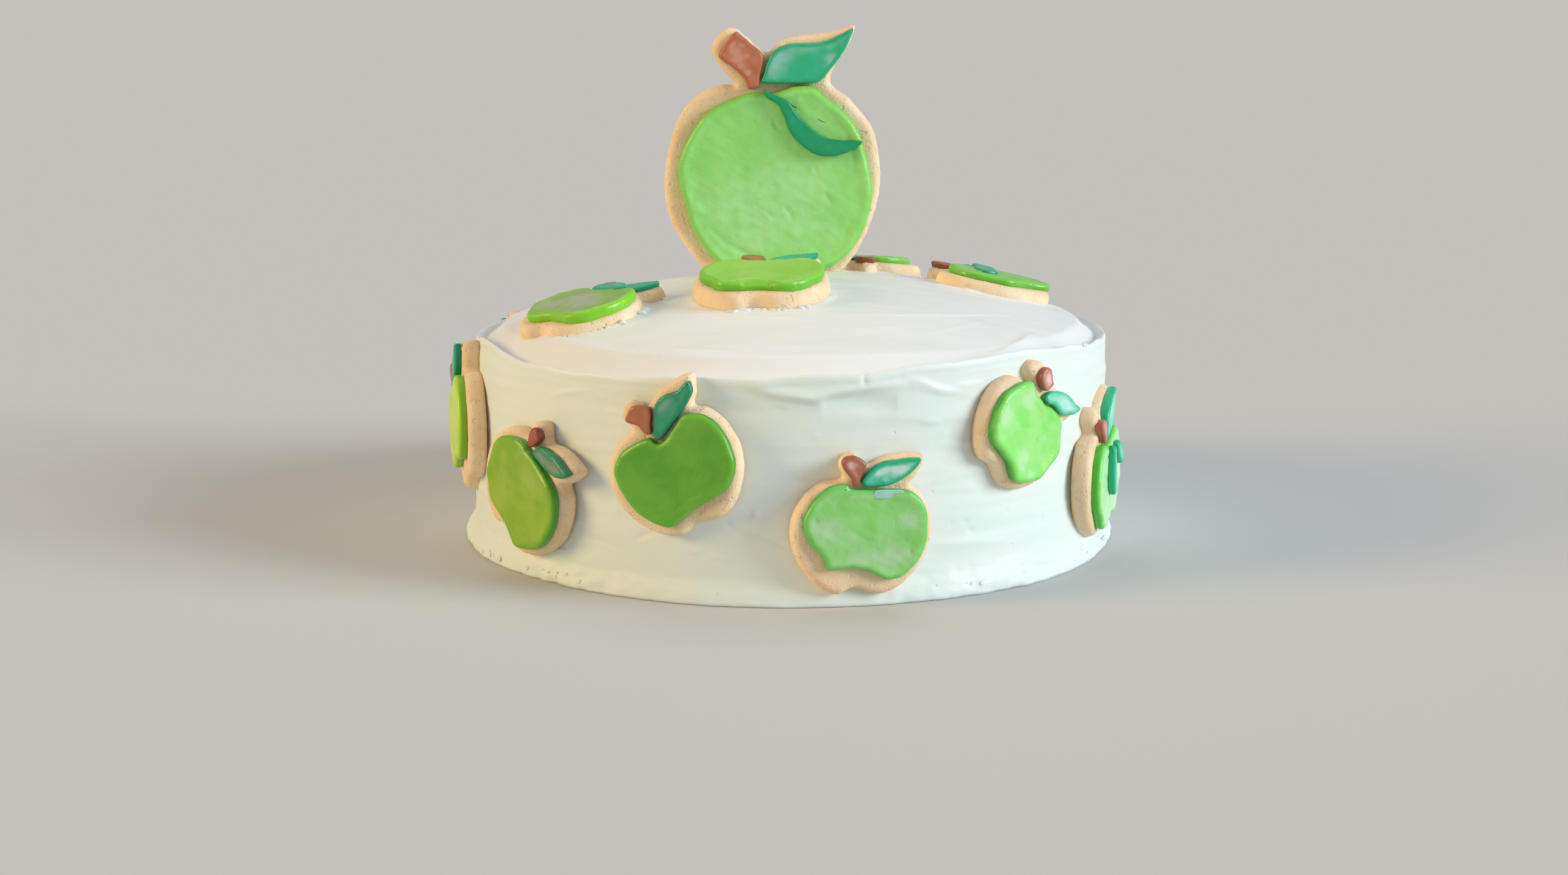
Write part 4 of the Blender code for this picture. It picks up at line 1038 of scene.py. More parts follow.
def add_bump(tree, shader, height, distance):
    """Fine unevenness too small for the mesh, with its depth in metres."""
    made = tree.nodes.new("ShaderNodeBump")
    made.inputs["Strength"].default_value = 1.0
    made.inputs["Distance"].default_value = distance
    join(tree, height, made.inputs["Height"])
    tree.links.new(made.outputs["Normal"], shader.inputs["Normal"])


BUBBLE_GAP = 0.0110


def frosting_material():
    """Pale mint frosting, satin, with faint streaks and pinprick bubbles, painted whiter on the top and
    up the lip as light from above.
    """
    made, tree, shader = new_material("frosting", 0.42)
    streak = noise_value(tree, 0.030, 3.0, 3.1, (0.6, 0.6, 5.0))
    patch = noise_value(tree, 0.050, 2.0, 8.4)
    tone = tinted(tree, (0.80, 0.88, 0.83), (0.77, 0.86, 0.81), streak, 0.35, 0.68)
    tone = tinted(tree, tone, (0.84, 0.885, 0.855), patch, 0.45, 0.75, 0.6)
    # Painted light: the top and the upper lip take a whiter tone, for the light that falls on them from
    # above.
    tone = tinted(tree, tone, (0.87, 0.88, 0.88), attribute_value(tree, "level"), 0.0, 1.0, 0.85)
    tree.links.new(tone, shader.inputs["Base Color"])
    tree.links.new(ranged(tree, streak, 0.3, 0.7, 0.42, 0.56), shader.inputs["Roughness"])
    fine = noise_value(tree, 0.016, 4.0, 1.7, (0.4, 0.4, 3.0))
    grain = noise_value(tree, 0.0016, 3.0, 5.2)
    pits = tree.nodes.new("ShaderNodeTexVoronoi")
    pits.inputs["Scale"].default_value = 1 / BUBBLE_GAP
    pits.inputs["Randomness"].default_value = 1.0
    coordinates = tree.nodes.new("ShaderNodeTexCoord")
    tree.links.new(coordinates.outputs["Object"], pits.inputs["Vector"])
    pit = ranged(tree, pits.outputs["Distance"], 0.025, 0.065)
    height = combined(tree, fine, combined(tree, grain, 0.25, "MULTIPLY"))
    height = combined(tree, height, combined(tree, pit, 0.9, "MULTIPLY"))
    add_bump(tree, shader, height, 0.00015)
    soften(shader, 0.12, (0.6, 0.8, 0.6), 0.004)
    return made


def biscuit_material():
    """Pale baked biscuit, browner towards its back, with fine specks and pores."""
    made, tree, shader = new_material("biscuit", 0.68)
    patch = noise_value(tree, 0.011, 4.0, 2.2)
    speck = noise_value(tree, 0.0015, 3.0, 6.1)
    tone = tinted(tree, (0.89, 0.65, 0.40), (0.93, 0.74, 0.50), patch, 0.35, 0.68)
    tone = tinted(tree, tone, (0.72, 0.43, 0.19), attribute_value(tree, "level"), 0.30, 0.0, 0.75)
    tone = tinted(tree, tone, (0.70, 0.44, 0.22), speck, 0.62, 0.80, 0.35)
    tree.links.new(tone, shader.inputs["Base Color"])
    grain = noise_value(tree, 0.0010, 5.0, 4.4)
    pores = noise_value(tree, 0.0032, 3.0, 9.3)
    add_bump(tree, shader, combined(tree, grain, ranged(tree, pores, 0.58, 0.70, 0.0, -0.9)), 0.00030)
    soften(shader, 0.06, (0.9, 0.5, 0.25), 0.002)
    return made


# In each set of tones, wall is painted shade on the icing's side walls.
Tones = namedtuple("Tones", "main second pale rim wall mottle pale_share rim_share shift")


ICING_ROUGHNESS = 0.32


def icing_material(name, tones):
    """Soft coloured icing: two tones in patches, paler clouds, a deeper edge that is partly painted
    shade, and side walls darkened as painted shade.
    """
    made, tree, shader = new_material(name, ICING_ROUGHNESS)
    patch = noise_value(tree, tones.mottle, 3.0, tones.shift, distortion=0.6)
    cloud = noise_value(tree, 1.5 * tones.mottle, 4.0, tones.shift + 5.0, distortion=1.0)
    edge = attribute_value(tree, "edge")
    pale = ranged(tree, attribute_value(tree, "pale"), 0.05, 1.0)
    cloudy = combined(tree, ranged(tree, cloud, 0.50, 0.72, 0.0, 0.5), pale, "MAXIMUM")
    cloudy = combined(tree, cloudy, tones.pale_share, "MULTIPLY")
    cloudy = combined(tree, cloudy, ranged(tree, edge, 0.9, 2.4), "MULTIPLY")
    tone = tinted(tree, tones.main, tones.second, patch, 0.38, 0.64)
    tone = blend_colour(tree, cloudy, tone, tones.pale)
    # Partly painted shade: the band along the rounded edge turns to the rim tone, partly the icing's
    # own deeper edge and partly shade where the edge turns from the light.
    tone = tinted(tree, tone, tones.rim, edge, 2.4, 0.3, tones.rim_share)
    # Painted shade: the side walls turn to the darker wall tone, as if out of the light.
    tone = tinted(tree, tone, tones.wall, attribute_value(tree, "level"), 0.88, 0.45, 0.9)
    tree.links.new(tone, shader.inputs["Base Color"])
    rough = ranged(tree, cloud, 0.35, 0.70, ICING_ROUGHNESS - 0.05, ICING_ROUGHNESS + 0.10)
    tree.links.new(rough, shader.inputs["Roughness"])
    fine = noise_value(tree, 0.0045, 4.0, tones.shift + 2.0)
    grain = noise_value(tree, 0.0007, 2.0, tones.shift + 7.0)
    add_bump(tree, shader, combined(tree, fine, combined(tree, grain, 0.35, "MULTIPLY")), 0.00026)
    soften(shader, 0.10, (0.5, 1.0, 0.4), 0.003)
    return made


# Tones in linear light, as near as the photograph's warm and cool light allows
# The rim tone of each set is partly the icing's own deeper edge and partly painted shade where the
# rounded edge turns from the light.
LARGE_GREEN = Tones((0.35, 0.81, 0.22), (0.30, 0.77, 0.18), (0.49, 0.88, 0.44), (0.20, 0.65, 0.07),
                    (0.13, 0.50, 0.04), 0.016, 0.60, 0.80, 1.0)
SIDE_GREENS = (
    Tones((0.105, 0.40, 0.020), (0.15, 0.46, 0.035), (0.22, 0.52, 0.08), (0.18, 0.54, 0.04),
          (0.03, 0.25, 0.015), 0.013, 0.45, 0.5, 2.0),
    Tones((0.25, 0.66, 0.16), (0.32, 0.70, 0.24), (0.50, 0.68, 0.44), (0.10, 0.56, 0.07),
          (0.03, 0.36, 0.06), 0.009, 0.60, 0.6, 3.0),
    Tones((0.27, 0.80, 0.15), (0.36, 0.84, 0.23), (0.55, 0.86, 0.48), (0.12, 0.62, 0.05),
          (0.03, 0.36, 0.02), 0.009, 0.65, 0.50, 4.0),
    Tones((0.50, 0.90, 0.44), (0.58, 0.91, 0.52), (0.70, 0.92, 0.66), (0.12, 0.70, 0.04),
          (0.08, 0.58, 0.04), 0.009, 0.70, 0.80, 5.0),
    # The fifth and sixth greens, on the left-hand biscuits, are made yellower as painted warm light
    # from the left.
    Tones((0.56, 0.80, 0.05), (0.62, 0.84, 0.09), (0.68, 0.84, 0.18), (0.40, 0.74, 0.03),
          (0.22, 0.54, 0.02), 0.012, 0.60, 0.5, 6.0),
    Tones((0.24, 0.46, 0.012), (0.31, 0.51, 0.025), (0.38, 0.54, 0.12), (0.14, 0.48, 0.02),
          (0.04, 0.36, 0.04), 0.012, 0.55, 0.6, 7.0),
)
TOP_GREENS = (
    Tones((0.30, 0.66, 0.07), (0.36, 0.70, 0.12), (0.46, 0.72, 0.22), (0.20, 0.62, 0.03),
          (0.14, 0.50, 0.02), 0.012, 0.40, 0.7, 8.0),
    Tones((0.26, 0.52, 0.07), (0.33, 0.54, 0.14), (0.44, 0.50, 0.34), (0.25, 0.66, 0.02),
          (0.22, 0.60, 0.02), 0.010, 1.00, 1.0, 9.0),
    Tones((0.24, 0.62, 0.09), (0.30, 0.66, 0.14), (0.44, 0.68, 0.26), (0.18, 0.58, 0.04),
          (0.14, 0.50, 0.04), 0.011, 0.50, 0.6, 10.0),
    Tones((0.30, 0.68, 0.14), (0.36, 0.70, 0.20), (0.50, 0.74, 0.34), (0.22, 0.60, 0.06),
          (0.16, 0.52, 0.05), 0.011, 0.60, 0.5, 11.0),
)
# The pale tone of the brown stem icings here and below is partly paler icing and partly painted
# highlight.
LARGE_BROWN = Tones((0.52, 0.165, 0.08), (0.58, 0.205, 0.11), (0.70, 0.36, 0.26), (0.44, 0.13, 0.06),
                    (0.32, 0.085, 0.035), 0.007, 0.65, 0.6, 1.5)
STEM_TONES = (
    Tones((0.46, 0.145, 0.07), (0.52, 0.19, 0.10), (0.62, 0.30, 0.20), (0.40, 0.12, 0.055),
          (0.24, 0.07, 0.035), 0.006, 0.60, 0.6, 2.5),
    Tones((0.46, 0.15, 0.10), (0.52, 0.20, 0.14), (0.74, 0.48, 0.42), (0.36, 0.10, 0.06),
          (0.22, 0.06, 0.035), 0.005, 0.90, 0.8, 3.5),
    Tones((0.68, 0.32, 0.25), (0.74, 0.40, 0.33), (0.90, 0.68, 0.62), (0.44, 0.14, 0.09),
          (0.32, 0.09, 0.05), 0.007, 0.95, 0.8, 4.5),
    Tones((0.74, 0.34, 0.26), (0.78, 0.42, 0.34), (0.86, 0.56, 0.50), (0.54, 0.18, 0.12),
          (0.42, 0.13, 0.08), 0.007, 0.80, 0.7, 5.5),
    Tones((0.42, 0.14, 0.07), (0.48, 0.18, 0.10), (0.58, 0.27, 0.18), (0.36, 0.10, 0.05),
          (0.24, 0.07, 0.03), 0.007, 0.60, 0.6, 6.5),
    Tones((0.38, 0.095, 0.045), (0.44, 0.12, 0.06), (0.54, 0.20, 0.12), (0.28, 0.06, 0.03),
          (0.18, 0.04, 0.02), 0.006, 0.50, 0.7, 7.5),
)
LEAF_TONES = (
    Tones((0.018, 0.31, 0.16), (0.04, 0.36, 0.21), (0.20, 0.42, 0.30), (0.004, 0.26, 0.12),
          (0.004, 0.17, 0.08), 0.007, 0.90, 0.8, 3.5),
    Tones((0.04, 0.48, 0.28), (0.12, 0.58, 0.42), (0.54, 0.76, 0.70), (0.004, 0.42, 0.18),
          (0.004, 0.26, 0.11), 0.005, 1.00, 0.9, 4.5),
    Tones((0.22, 0.72, 0.52), (0.32, 0.78, 0.62), (0.52, 0.86, 0.78), (0.03, 0.56, 0.30),
          (0.02, 0.42, 0.20), 0.008, 0.95, 0.8, 5.5),
    Tones((0.16, 0.66, 0.44), (0.24, 0.72, 0.52), (0.50, 0.84, 0.70), (0.015, 0.50, 0.26),
          (0.01, 0.44, 0.20), 0.008, 0.90, 1.0, 6.5),
    Tones((0.03, 0.46, 0.28), (0.06, 0.52, 0.34), (0.22, 0.60, 0.46), (0.005, 0.38, 0.20),
          (0.004, 0.28, 0.14), 0.008, 0.60, 0.6, 7.5),
    Tones((0.03, 0.26, 0.13), (0.08, 0.29, 0.17), (0.23, 0.30, 0.21), (0.01, 0.28, 0.12),
          (0.01, 0.20, 0.08), 0.0045, 1.00, 0.6, 8.5),
)
DEEP_TEAL = Tones((0.006, 0.33, 0.14), (0.010, 0.37, 0.17), (0.05, 0.46, 0.28), (0.004, 0.28, 0.11),
                  (0.003, 0.20, 0.07), 0.010, 0.40, 0.5, 4.5)
LARGE_TEAL = Tones((0.026, 0.50, 0.25), (0.06, 0.54, 0.33), (0.26, 0.60, 0.48), (0.006, 0.38, 0.17),
                   (0.005, 0.28, 0.12), 0.014, 1.00, 0.6, 5.5)
SMEAR = Tones((0.38, 0.66, 0.56), (0.42, 0.70, 0.62), (0.50, 0.76, 0.70), (0.28, 0.62, 0.46),
              (0.22, 0.56, 0.38), 0.006, 0.60, 0.4, 9.5)


Paints = namedtuple("Paints", "biscuit green stem leaf")
# Thicknesses of a small biscuit, of its green icing and of its stem and leaf
Layers = namedtuple("Layers", "biscuit green sprig")
SIDE_LAYERS = Layers(BISCUIT_THICK, ICING_THICK, SPRIG_THICK)
TOP_GREEN_THICKS = (0.0031, 0.0031, 0.0023, 0.0022)
TOP_SPRIG_THICK = 0.0016
# How many of the side's tones the back takes in turn, and which of its sprigs' the top takes
BACK_TONE_COUNT = 4
TOP_SPRIG_TONE = 4


def add_small_biscuit(name, place, shapes, layers, seed, paints, fused=False, marks=()):
    """A small apple biscuit with its green icing, its stem and its leaf."""
    crust = Piece(f"{name}_crust", shapes.biscuit, BISCUIT_PROFILE, layers.biscuit / MM, 0.0,
                  paints.biscuit, "biscuit", f"{name}_biscuit", seed)
    add_piece(crust, place, crust=SMALL_CRUST, seeds=(seed, seed + 7))
    base = (layers.biscuit + TOUCH_GAP) / MM
    stem, leaf = ("icing", "icing") if fused else ("stem", "leaf")
    green = Piece(f"{name}_green", shapes.icing, ICING_PROFILE, layers.green / MM, base,
                  paints.green, "green_icing", f"{name}_icing", seed)
    add_piece(green, place, marks, Dents(12, 0.42), rim=0.26, hollow=0.10)
    stalk = Piece(f"{name}_stalk", shapes.stem, SPRIG_PROFILE, layers.sprig / MM, base,
                  paints.stem, "brown_icing", f"{name}_{stem}", seed + 1)
    add_piece(stalk, place, dents=Dents(2, 0.25), hollow=0.30, seeds=(seed, seed + 1))
    blade = Piece(f"{name}_leaf_icing", shapes.leaf, SPRIG_PROFILE, layers.sprig / MM, base,
                  paints.leaf, "leaf_icing", f"{name}_{leaf}", seed + 2)
    add_piece(blade, place, dents=Dents(3, 0.2), hollow=0.35, seeds=(seed, seed + 2))


def add_leaf_strip(name, node, place, points, under, thick, paint, seed):
    """A thin strip or smear of leaf icing on the green of a biscuit."""
    strip = Piece(name, points, SPRIG_PROFILE, thick, under, paint, "leaf_icing", node, seed)
    add_piece(strip, place)


def add_large_biscuit(biscuit):
    """The large apple biscuit that stands in the top of the cake."""
    place = large_frame()
    base = (LARGE_BISCUIT_THICK + TOUCH_GAP) / MM
    above = base + (LARGE_ICING_THICK + TOUCH_GAP) / MM
    green = icing_material("green_large", LARGE_GREEN)
    brown = icing_material("stem_large", LARGE_BROWN)
    teal = icing_material("leaf_large", LARGE_TEAL)
    deep = icing_material("leaf_low", DEEP_TEAL)
    crust = Piece("large_crust", LARGE_BISCUIT, LARGE_BISCUIT_PROFILE, LARGE_BISCUIT_THICK / MM, 0.0,
                  biscuit, "biscuit", "large_biscuit", LARGE_SEED)
    add_piece(crust, place, crust=LARGE_CRUST)
    icing = Piece("large_green", LARGE_ICING, LARGE_ICING_PROFILE, LARGE_ICING_THICK / MM, base,
                  green, "green_icing", "large_icing", LARGE_SEED + 1)
    add_piece(icing, place, LARGE_ICING_MARKS, Dents(30, 0.50), rim=0.45, hollow=0.20)
    stalk = Piece("large_stalk", LARGE_STEM, SPRIG_PROFILE, LARGE_STEM_THICK, base,
                  brown, "brown_icing", "large_stem", LARGE_SEED + 2)
    leaf = Piece("large_leaf_icing", LARGE_LEAF, SPRIG_PROFILE, LARGE_LEAF_THICK, base,
                 teal, "leaf_icing", "large_leaf", LARGE_SEED + 3)
    low_leaf = Piece("large_low_leaf_icing", LARGE_LOW_LEAF, SPRIG_PROFILE, LOW_LEAF_THICK, above,
                     deep, "leaf_icing", "large_low_leaf", LARGE_SEED + 4)
    for sprig, hollow in ((stalk, 0.45), (leaf, 0.35), (low_leaf, 0.0)):
        add_piece(sprig, place, dents=Dents(4, 0.25), hollow=hollow)


def seeded_wall_marks():
    """Streaks that the spatula left all round the wall, mostly level."""
    draw = random.Random(VARIATION_SEED)
    marks = []
    for _ in range(WALL_MARK_COUNT):
        azimuth, height = draw.uniform(-180, 180), draw.uniform(*STREAK_HEIGHTS)
        reach, slope = draw.uniform(*STREAK_REACHES), draw.uniform(*STREAK_SLOPES)
        sag = draw.uniform(*STREAK_SAGS)
        path = ((azimuth, height), (azimuth + reach / 2, height + slope * reach + sag),
                (azimuth + reach, height + 2 * slope * reach))
        if draw.random() < 0.5:
            path = tuple(reversed(path))
        kind = "step" if draw.random() < 0.6 else "ridge"
        marks.append(Mark(path, draw.uniform(*STREAK_LIFTS), draw.uniform(*STREAK_WIDTHS), kind))
    return marks


def wall_relief(azimuths, heights):
    """How far the frosted wall stands out at each azimuth and height (mm), in millimetres."""
    angles = np.radians(azimuths)
    radius = RADIUS_TOP / MM
    places = np.column_stack((radius * np.sin(angles), -radius * np.cos(angles), heights))
    total = layered_noise(places, WALL_NOISE)
    arc = math.radians(1) * radius
    for mark in list(WALL_MARKS) + list(FOLD_MARKS) + seeded_wall_marks():
        start = mark.path[0][0]
        turned = (azimuths - start + 180) % 360 - 180
        flat = np.column_stack((turned * arc, heights))
        path = tuple(((x - start) * arc, y) for x, y in mark.path)
        low = min(x for x, _ in path) - 6 * mark.width
        high = max(x for x, _ in path) + 6 * mark.width
        near = (flat[:, 0] > low) & (flat[:, 0] < high)
        total[near] += mark_relief(flat[near], mark._replace(path=path))
    return total + foot_relief(azimuths, heights, places)


def foot_relief(azimuths, heights, places):
    """The torn, uneven foot of the wall, rougher where the spatula left it so."""
    low = np.clip(1 - heights / ROUGH_FOOT_HEIGHT, 0, 1)
    rough = EVEN_FOOT_SHARE + bells(azimuths, ROUGH_FOOT)
    return FOOT_RELIEF * rough * layered_noise(places, FOOT_NOISE) * low ** 0.8


def bells(azimuths, bumps):
    """A sum of smooth bumps round the cake, each with its height, its azimuth and its width."""
    total = 0.0
    for height, middle, width in bumps:
        away = (azimuths - middle + 180) % 360 - 180
        total = total + height * np.exp(-(away / width) ** 2)
    return total


def rim_waves(azimuths):
    """How far the lip's edge rises and falls about its smooth curve, in millimetres."""
    angles = np.radians(azimuths)
    places = np.column_stack((np.sin(angles), -np.cos(angles), np.zeros(len(angles)))) * RADIUS_TOP / MM
    torn = bells(azimuths, TORN_RIMS)
    return layered_noise(places, RIM_NOISE) + torn * layered_noise(places, TORN_RIM_NOISE)


def top_relief(points):
    """How far the top of the frosting stands up at each point (mm), in millimetres."""
    places = np.column_stack((points, np.zeros(len(points))))
    total = layered_noise(places, TOP_NOISE)
    for mark in list(TOP_MARKS) + seeded_top_marks():
        total += mark_relief(points, mark)
    return total


def seeded_top_marks():
    """Sweeps of the spatula over the top."""
    draw = random.Random(VARIATION_SEED + 1)
    marks = []
    for _ in range(TOP_MARK_COUNT):
        radius, start = draw.uniform(*SWEEP_RADII), draw.uniform(0, 360)
        sweep = draw.uniform(*SWEEP_DEGREES)
        drift = draw.uniform(*SWEEP_DRIFTS)
        path = []
        for step in range(5):
            angle = math.radians(start + sweep * step / 4)
            reach = radius + drift * step / 4
            path.append((reach * math.cos(angle), reach * math.sin(angle)))
        if draw.random() < 0.5:
            path.reverse()
        kind = "step" if draw.random() < 0.5 else "ridge"
        marks.append(Mark(tuple(path), draw.uniform(*SWEEP_LIFTS), draw.uniform(*SWEEP_WIDTHS), kind))
    return marks


def lip_sections(azimuth, wave):
    """The lip's (radius, height) points in metres at one azimuth, from the wall to the valley."""
    rim = key_curve(RIM_HEIGHTS, azimuth) + wave * MM
    inner = RADIUS_TOP - SEAM_INSET * MM
    valley = top_height(azimuth, inner) - bells(azimuth, VALLEYS) * MM
    section = [(RADIUS_TOP + out, rim + up) for out, up in LIP_EDGE]
    last_radius, last_height = section[-1]
    for step in range(1, VALLEY_STEPS + 1):
        share = step / VALLEY_STEPS
        eased = 1 - (1 - share) ** 1.6
        radius = last_radius + (inner - last_radius) * share
        section.append((radius, last_height + (valley - last_height) * eased))
    return section


def make_frosting_wall(material):
    """The frosted wall with its foot and its lip, closed underneath, and its last ring's points."""
    azimuths = np.arange(WALL_COLUMNS) * 360 / WALL_COLUMNS
    waves = rim_waves(azimuths)
    tops = np.array([key_curve(RIM_HEIGHTS, azimuth) for azimuth in azimuths]) / MM + waves - LIP_START
    levels = int(max(tops) / WALL_RING_GAP)
    shares = np.linspace(0, 1, levels)
    heights = shares[:, None] * tops[None, :]
    every_azimuth = np.tile(azimuths, levels)
    relief = wall_relief(every_azimuth, heights.ravel()).reshape(levels, WALL_COLUMNS)
    rings = []
    for level in range(levels):
        ring = [around(azimuth, wall_radius(azimuth, height * MM) + lift * MM, height * MM)
                for azimuth, height, lift in zip(azimuths, heights[level], relief[level])]
        rings.append(ring)
    sections = [lip_sections(azimuth, wave) for azimuth, wave in zip(azimuths, waves)]
    for step in range(len(sections[0])):
        fade = 1 - step / (len(sections[0]) - 1)
        ring = [around(azimuth, section[step][0] + lift * fade * MM, section[step][1])
                for azimuth, section, lift in zip(azimuths, sections, relief[-1])]
        rings.append(ring)
    points = np.array([list(point) for ring in rings for point in ring] + [[0.0, 0.0, 0.0]])
    faces = ring_faces(len(rings), WALL_COLUMNS)
    middle = len(points) - 1
    faces.extend((middle, (index + 1) % WALL_COLUMNS, index) for index in range(WALL_COLUMNS))
    lip_rings = len(sections[0])
    # Painted light: the lip's rings whiten towards the top, as light from above; the wall's rings keep
    # the wall's tone.
    painted_top_light = [0.0] * levels + [share / lip_rings for share in range(1, lip_rings + 1)]
    level = np.append(np.repeat(painted_top_light, WALL_COLUMNS), 0.0)
    stand_in(to_object("frosting_wall", points, faces, material, {"level": level}), "cake")
    return points[-1 - WALL_COLUMNS:-1]


def make_frosting_top(material, seam):
    """The domed top of the frosting, joined to the lip along a seam of points."""
    ring = seam[:, :2] / MM
    filled, triangles = fill_ring(ring, TOP_GRID)
    radii = np.linalg.norm(filled, axis=1)
    azimuths = np.degrees(np.arctan2(filled[:, 0], -filled[:, 1]))
    heights = [top_height(azimuth, radius * MM) for azimuth, radius in zip(azimuths, radii)]
    heights = np.array(heights) / MM
    inside_seam = np.maximum(RADIUS_TOP / MM - SEAM_INSET - radii, 0)
    fade = np.minimum(inside_seam / RELIEF_FADE, 1)
    heights -= bells(azimuths, VALLEYS) * np.exp(-(inside_seam / VALLEY_REACH) ** 2)
    heights += top_relief(filled) * fade + squeeze_relief(filled, heights)
    heights[:len(seam)] = seam[:, 2] / MM
    points = np.column_stack((filled, heights)) * MM
    # Painted light: the whole top takes the whiter tone, as lit from above.
    made = to_object("frosting_top", points, triangles, material, {"level": np.ones(len(points))})
    stand_in(made, "cake")


def squeeze_relief(points, heights):
    """Frosting that rises a little round the biscuits on the top and the large one."""
    places = np.column_stack((points, heights)) * MM
    total = np.zeros(len(points))
    for place in TOP_BISCUITS:
        matrix = top_frame(place)
        outline = smooth_outline(sized(SMALL_BISCUIT, place.size), 1.2)
        turned = np.array(matrix.inverted())
        local = (places @ turned[:3, :3].T + turned[:3, 3]) / MM
        near = np.linalg.norm(local[:, :2], axis=1) < 45
        flat = local[near][:, :2]
        distance = edge_distance(flat, outline)
        ridge = np.exp(-((distance - 0.6) / 1.2) ** 2)
        uneven_rise = 0.35 + 0.65 * np.clip(flat_noise(flat, 5.0, 31) * 2, 0, 1)
        total[near] += SQUEEZE_RISE * ridge * uneven_rise
    half = LARGE_BISCUIT_THICK / MM / 2
    middle = np.array((LARGE_ACROSS / MM, LARGE_FRONT / MM + half))
    away = np.abs(points - middle)
    beyond = np.linalg.norm(np.maximum(away - np.array((LARGE_FOOT_HALF, half)), 0), axis=1)
    uneven_rise = 0.4 + 0.6 * np.clip(flat_noise(points, 6.0, 32) * 2, 0, 1)
    return total + LARGE_SQUEEZE_RISE * (np.exp(-((beyond - 0.8) / 1.4) ** 2) * uneven_rise)


def lump_template():
    """The points and faces of a round lump one unit across its half."""
    bm = bmesh.new()
    bmesh.ops.create_icosphere(bm, subdivisions=3, radius=1.0)
    points = np.array([list(vert.co) for vert in bm.verts])
    faces = [tuple(vert.index for vert in face.verts) for face in bm.faces]
    bm.free()
    return points, faces


def wall_spot(azimuth, height):
    """A point of the wall (height in mm) and its outward direction."""
    place = around(azimuth, wall_radius(azimuth, height * MM), height * MM)
    return place, around(azimuth, 1.0, 0.0).normalized()


def edge_spots(matrix, corners, start, end, count, draw):
    """Seeded spots just outside a part of a biscuit's outline, at a range of its directions."""
    outline = smooth_outline(corners, 0.8)
    angles = np.degrees(np.arctan2(outline[:, 0], outline[:, 1]))
    chosen = [point for point, angle in zip(outline, angles) if start <= angle <= end]
    spots = []
    for _ in range(count):
        point = draw.choice(chosen) * draw.uniform(1.0, 1.05)
        height = draw.uniform(0.2, 1.4)
        spots.append(matrix @ Vector((point[0] * MM, point[1] * MM, height * MM)))
    return spots


def lump_spots(draw):
    """Where torn lumps of frosting lie: their places, outward directions and sizes in mm."""
    spots = []
    for middle, spread, height, rise, count, size in LUMP_BANDS:
        for _ in range(count):
            azimuth = draw.gauss(middle, spread)
            place, outward = wall_spot(azimuth, max(0.8, height + draw.uniform(-rise, rise)))
            spots.append((place, outward, size * draw.uniform(0.6, 1.3)))
    for number, start, end, count in TOP_LUMPS:
        place = TOP_BISCUITS[number - 1]
        matrix = top_frame(place)
        for spot in edge_spots(matrix, sized(SMALL_BISCUIT, place.size), start, end, count, draw):
            ground = Vector((spot.x, spot.y, dome_height(spot.x, spot.y) + 0.0003))
            spots.append((ground, dome_normal(spot.x, spot.y), draw.uniform(0.7, 1.3)))
    for number, start, end, count in SIDE_LUMPS:
        place = SEEN_SIDE_BISCUITS[number - 1]
        matrix = side_frame(place)
        outward = matrix.to_3x3() @ Vector((0, 0, 1))
        for spot in edge_spots(matrix, sized(SMALL_BISCUIT, place.size), start, end, count, draw):
            spots.append((spot, outward, draw.uniform(0.5, 0.9)))
    return spots


def add_lumps(material):
    """Small torn lumps of frosting at the foot, along the lip and round the biscuits."""
    draw = random.Random(VARIATION_SEED + 3)
    sphere, sphere_faces = lump_template()
    points, faces = [], []
    for number, (place, outward, size) in enumerate(lump_spots(draw)):
        along = outward.cross(Vector((0, 0, 1)))
        along = along.normalized() if along.length > 0.2 else Vector((1, 0, 0))
        across = outward.cross(along)
        turn = Matrix.Rotation(draw.uniform(-0.5, 0.5), 3, outward)
        axes = np.array([list(turn @ along), list(turn @ across), list(outward)])
        bumps = 1 + 0.45 * soft_noise(sphere, (0.9, 0.9, 0.9), 40 + number)
        reach = size * np.array([draw.uniform(*span) for span in LUMP_REACHES])
        shaped = sphere * bumps[:, None] * reach
        start = len(points) * len(sphere)
        points.append(shaped @ axes * MM + np.array(place))
        faces.extend(tuple(start + corner for corner in face) for face in sphere_faces)
    points = np.concatenate(points)
    # Painted light: the lumps are painted partway to the top's whiter tone, as light catching them.
    level = np.full(len(points), LUMP_PAINTED_LIGHT)
    made = to_object("frosting_lumps", points, faces, material, {"level": level})
    stand_in(made, "cake")


def add_object(name, data):
    """A new object of the scene."""
    made = bpy.data.objects.new(name, data)
    bpy.context.scene.collection.objects.link(made)
    return made


def add_camera():
    """The camera at the photograph's angle."""
    data = bpy.data.cameras.new("camera")
    data.sensor_width = SENSOR_WIDTH
    data.lens = CAMERA_LENS
    made = add_object("camera", data)
    made.location = CAMERA_PLACE
    made.rotation_euler = (math.pi / 2 - CAMERA_DIP, 0.0, CAMERA_TURN)
    bpy.context.scene.camera = made


def add_light(light):
    """A wide soft light from far away."""
    data = bpy.data.lights.new(light.name, "SUN")
    data.angle = math.radians(light.spread)
    data.energy = light.power
    data.color = light.colour
    elevation = math.radians(light.elevation)
    towards = around(light.azimuth, math.cos(elevation), math.sin(elevation))
    add_object(light.name, data).rotation_euler = towards.to_track_quat("Z", "Y").to_euler()


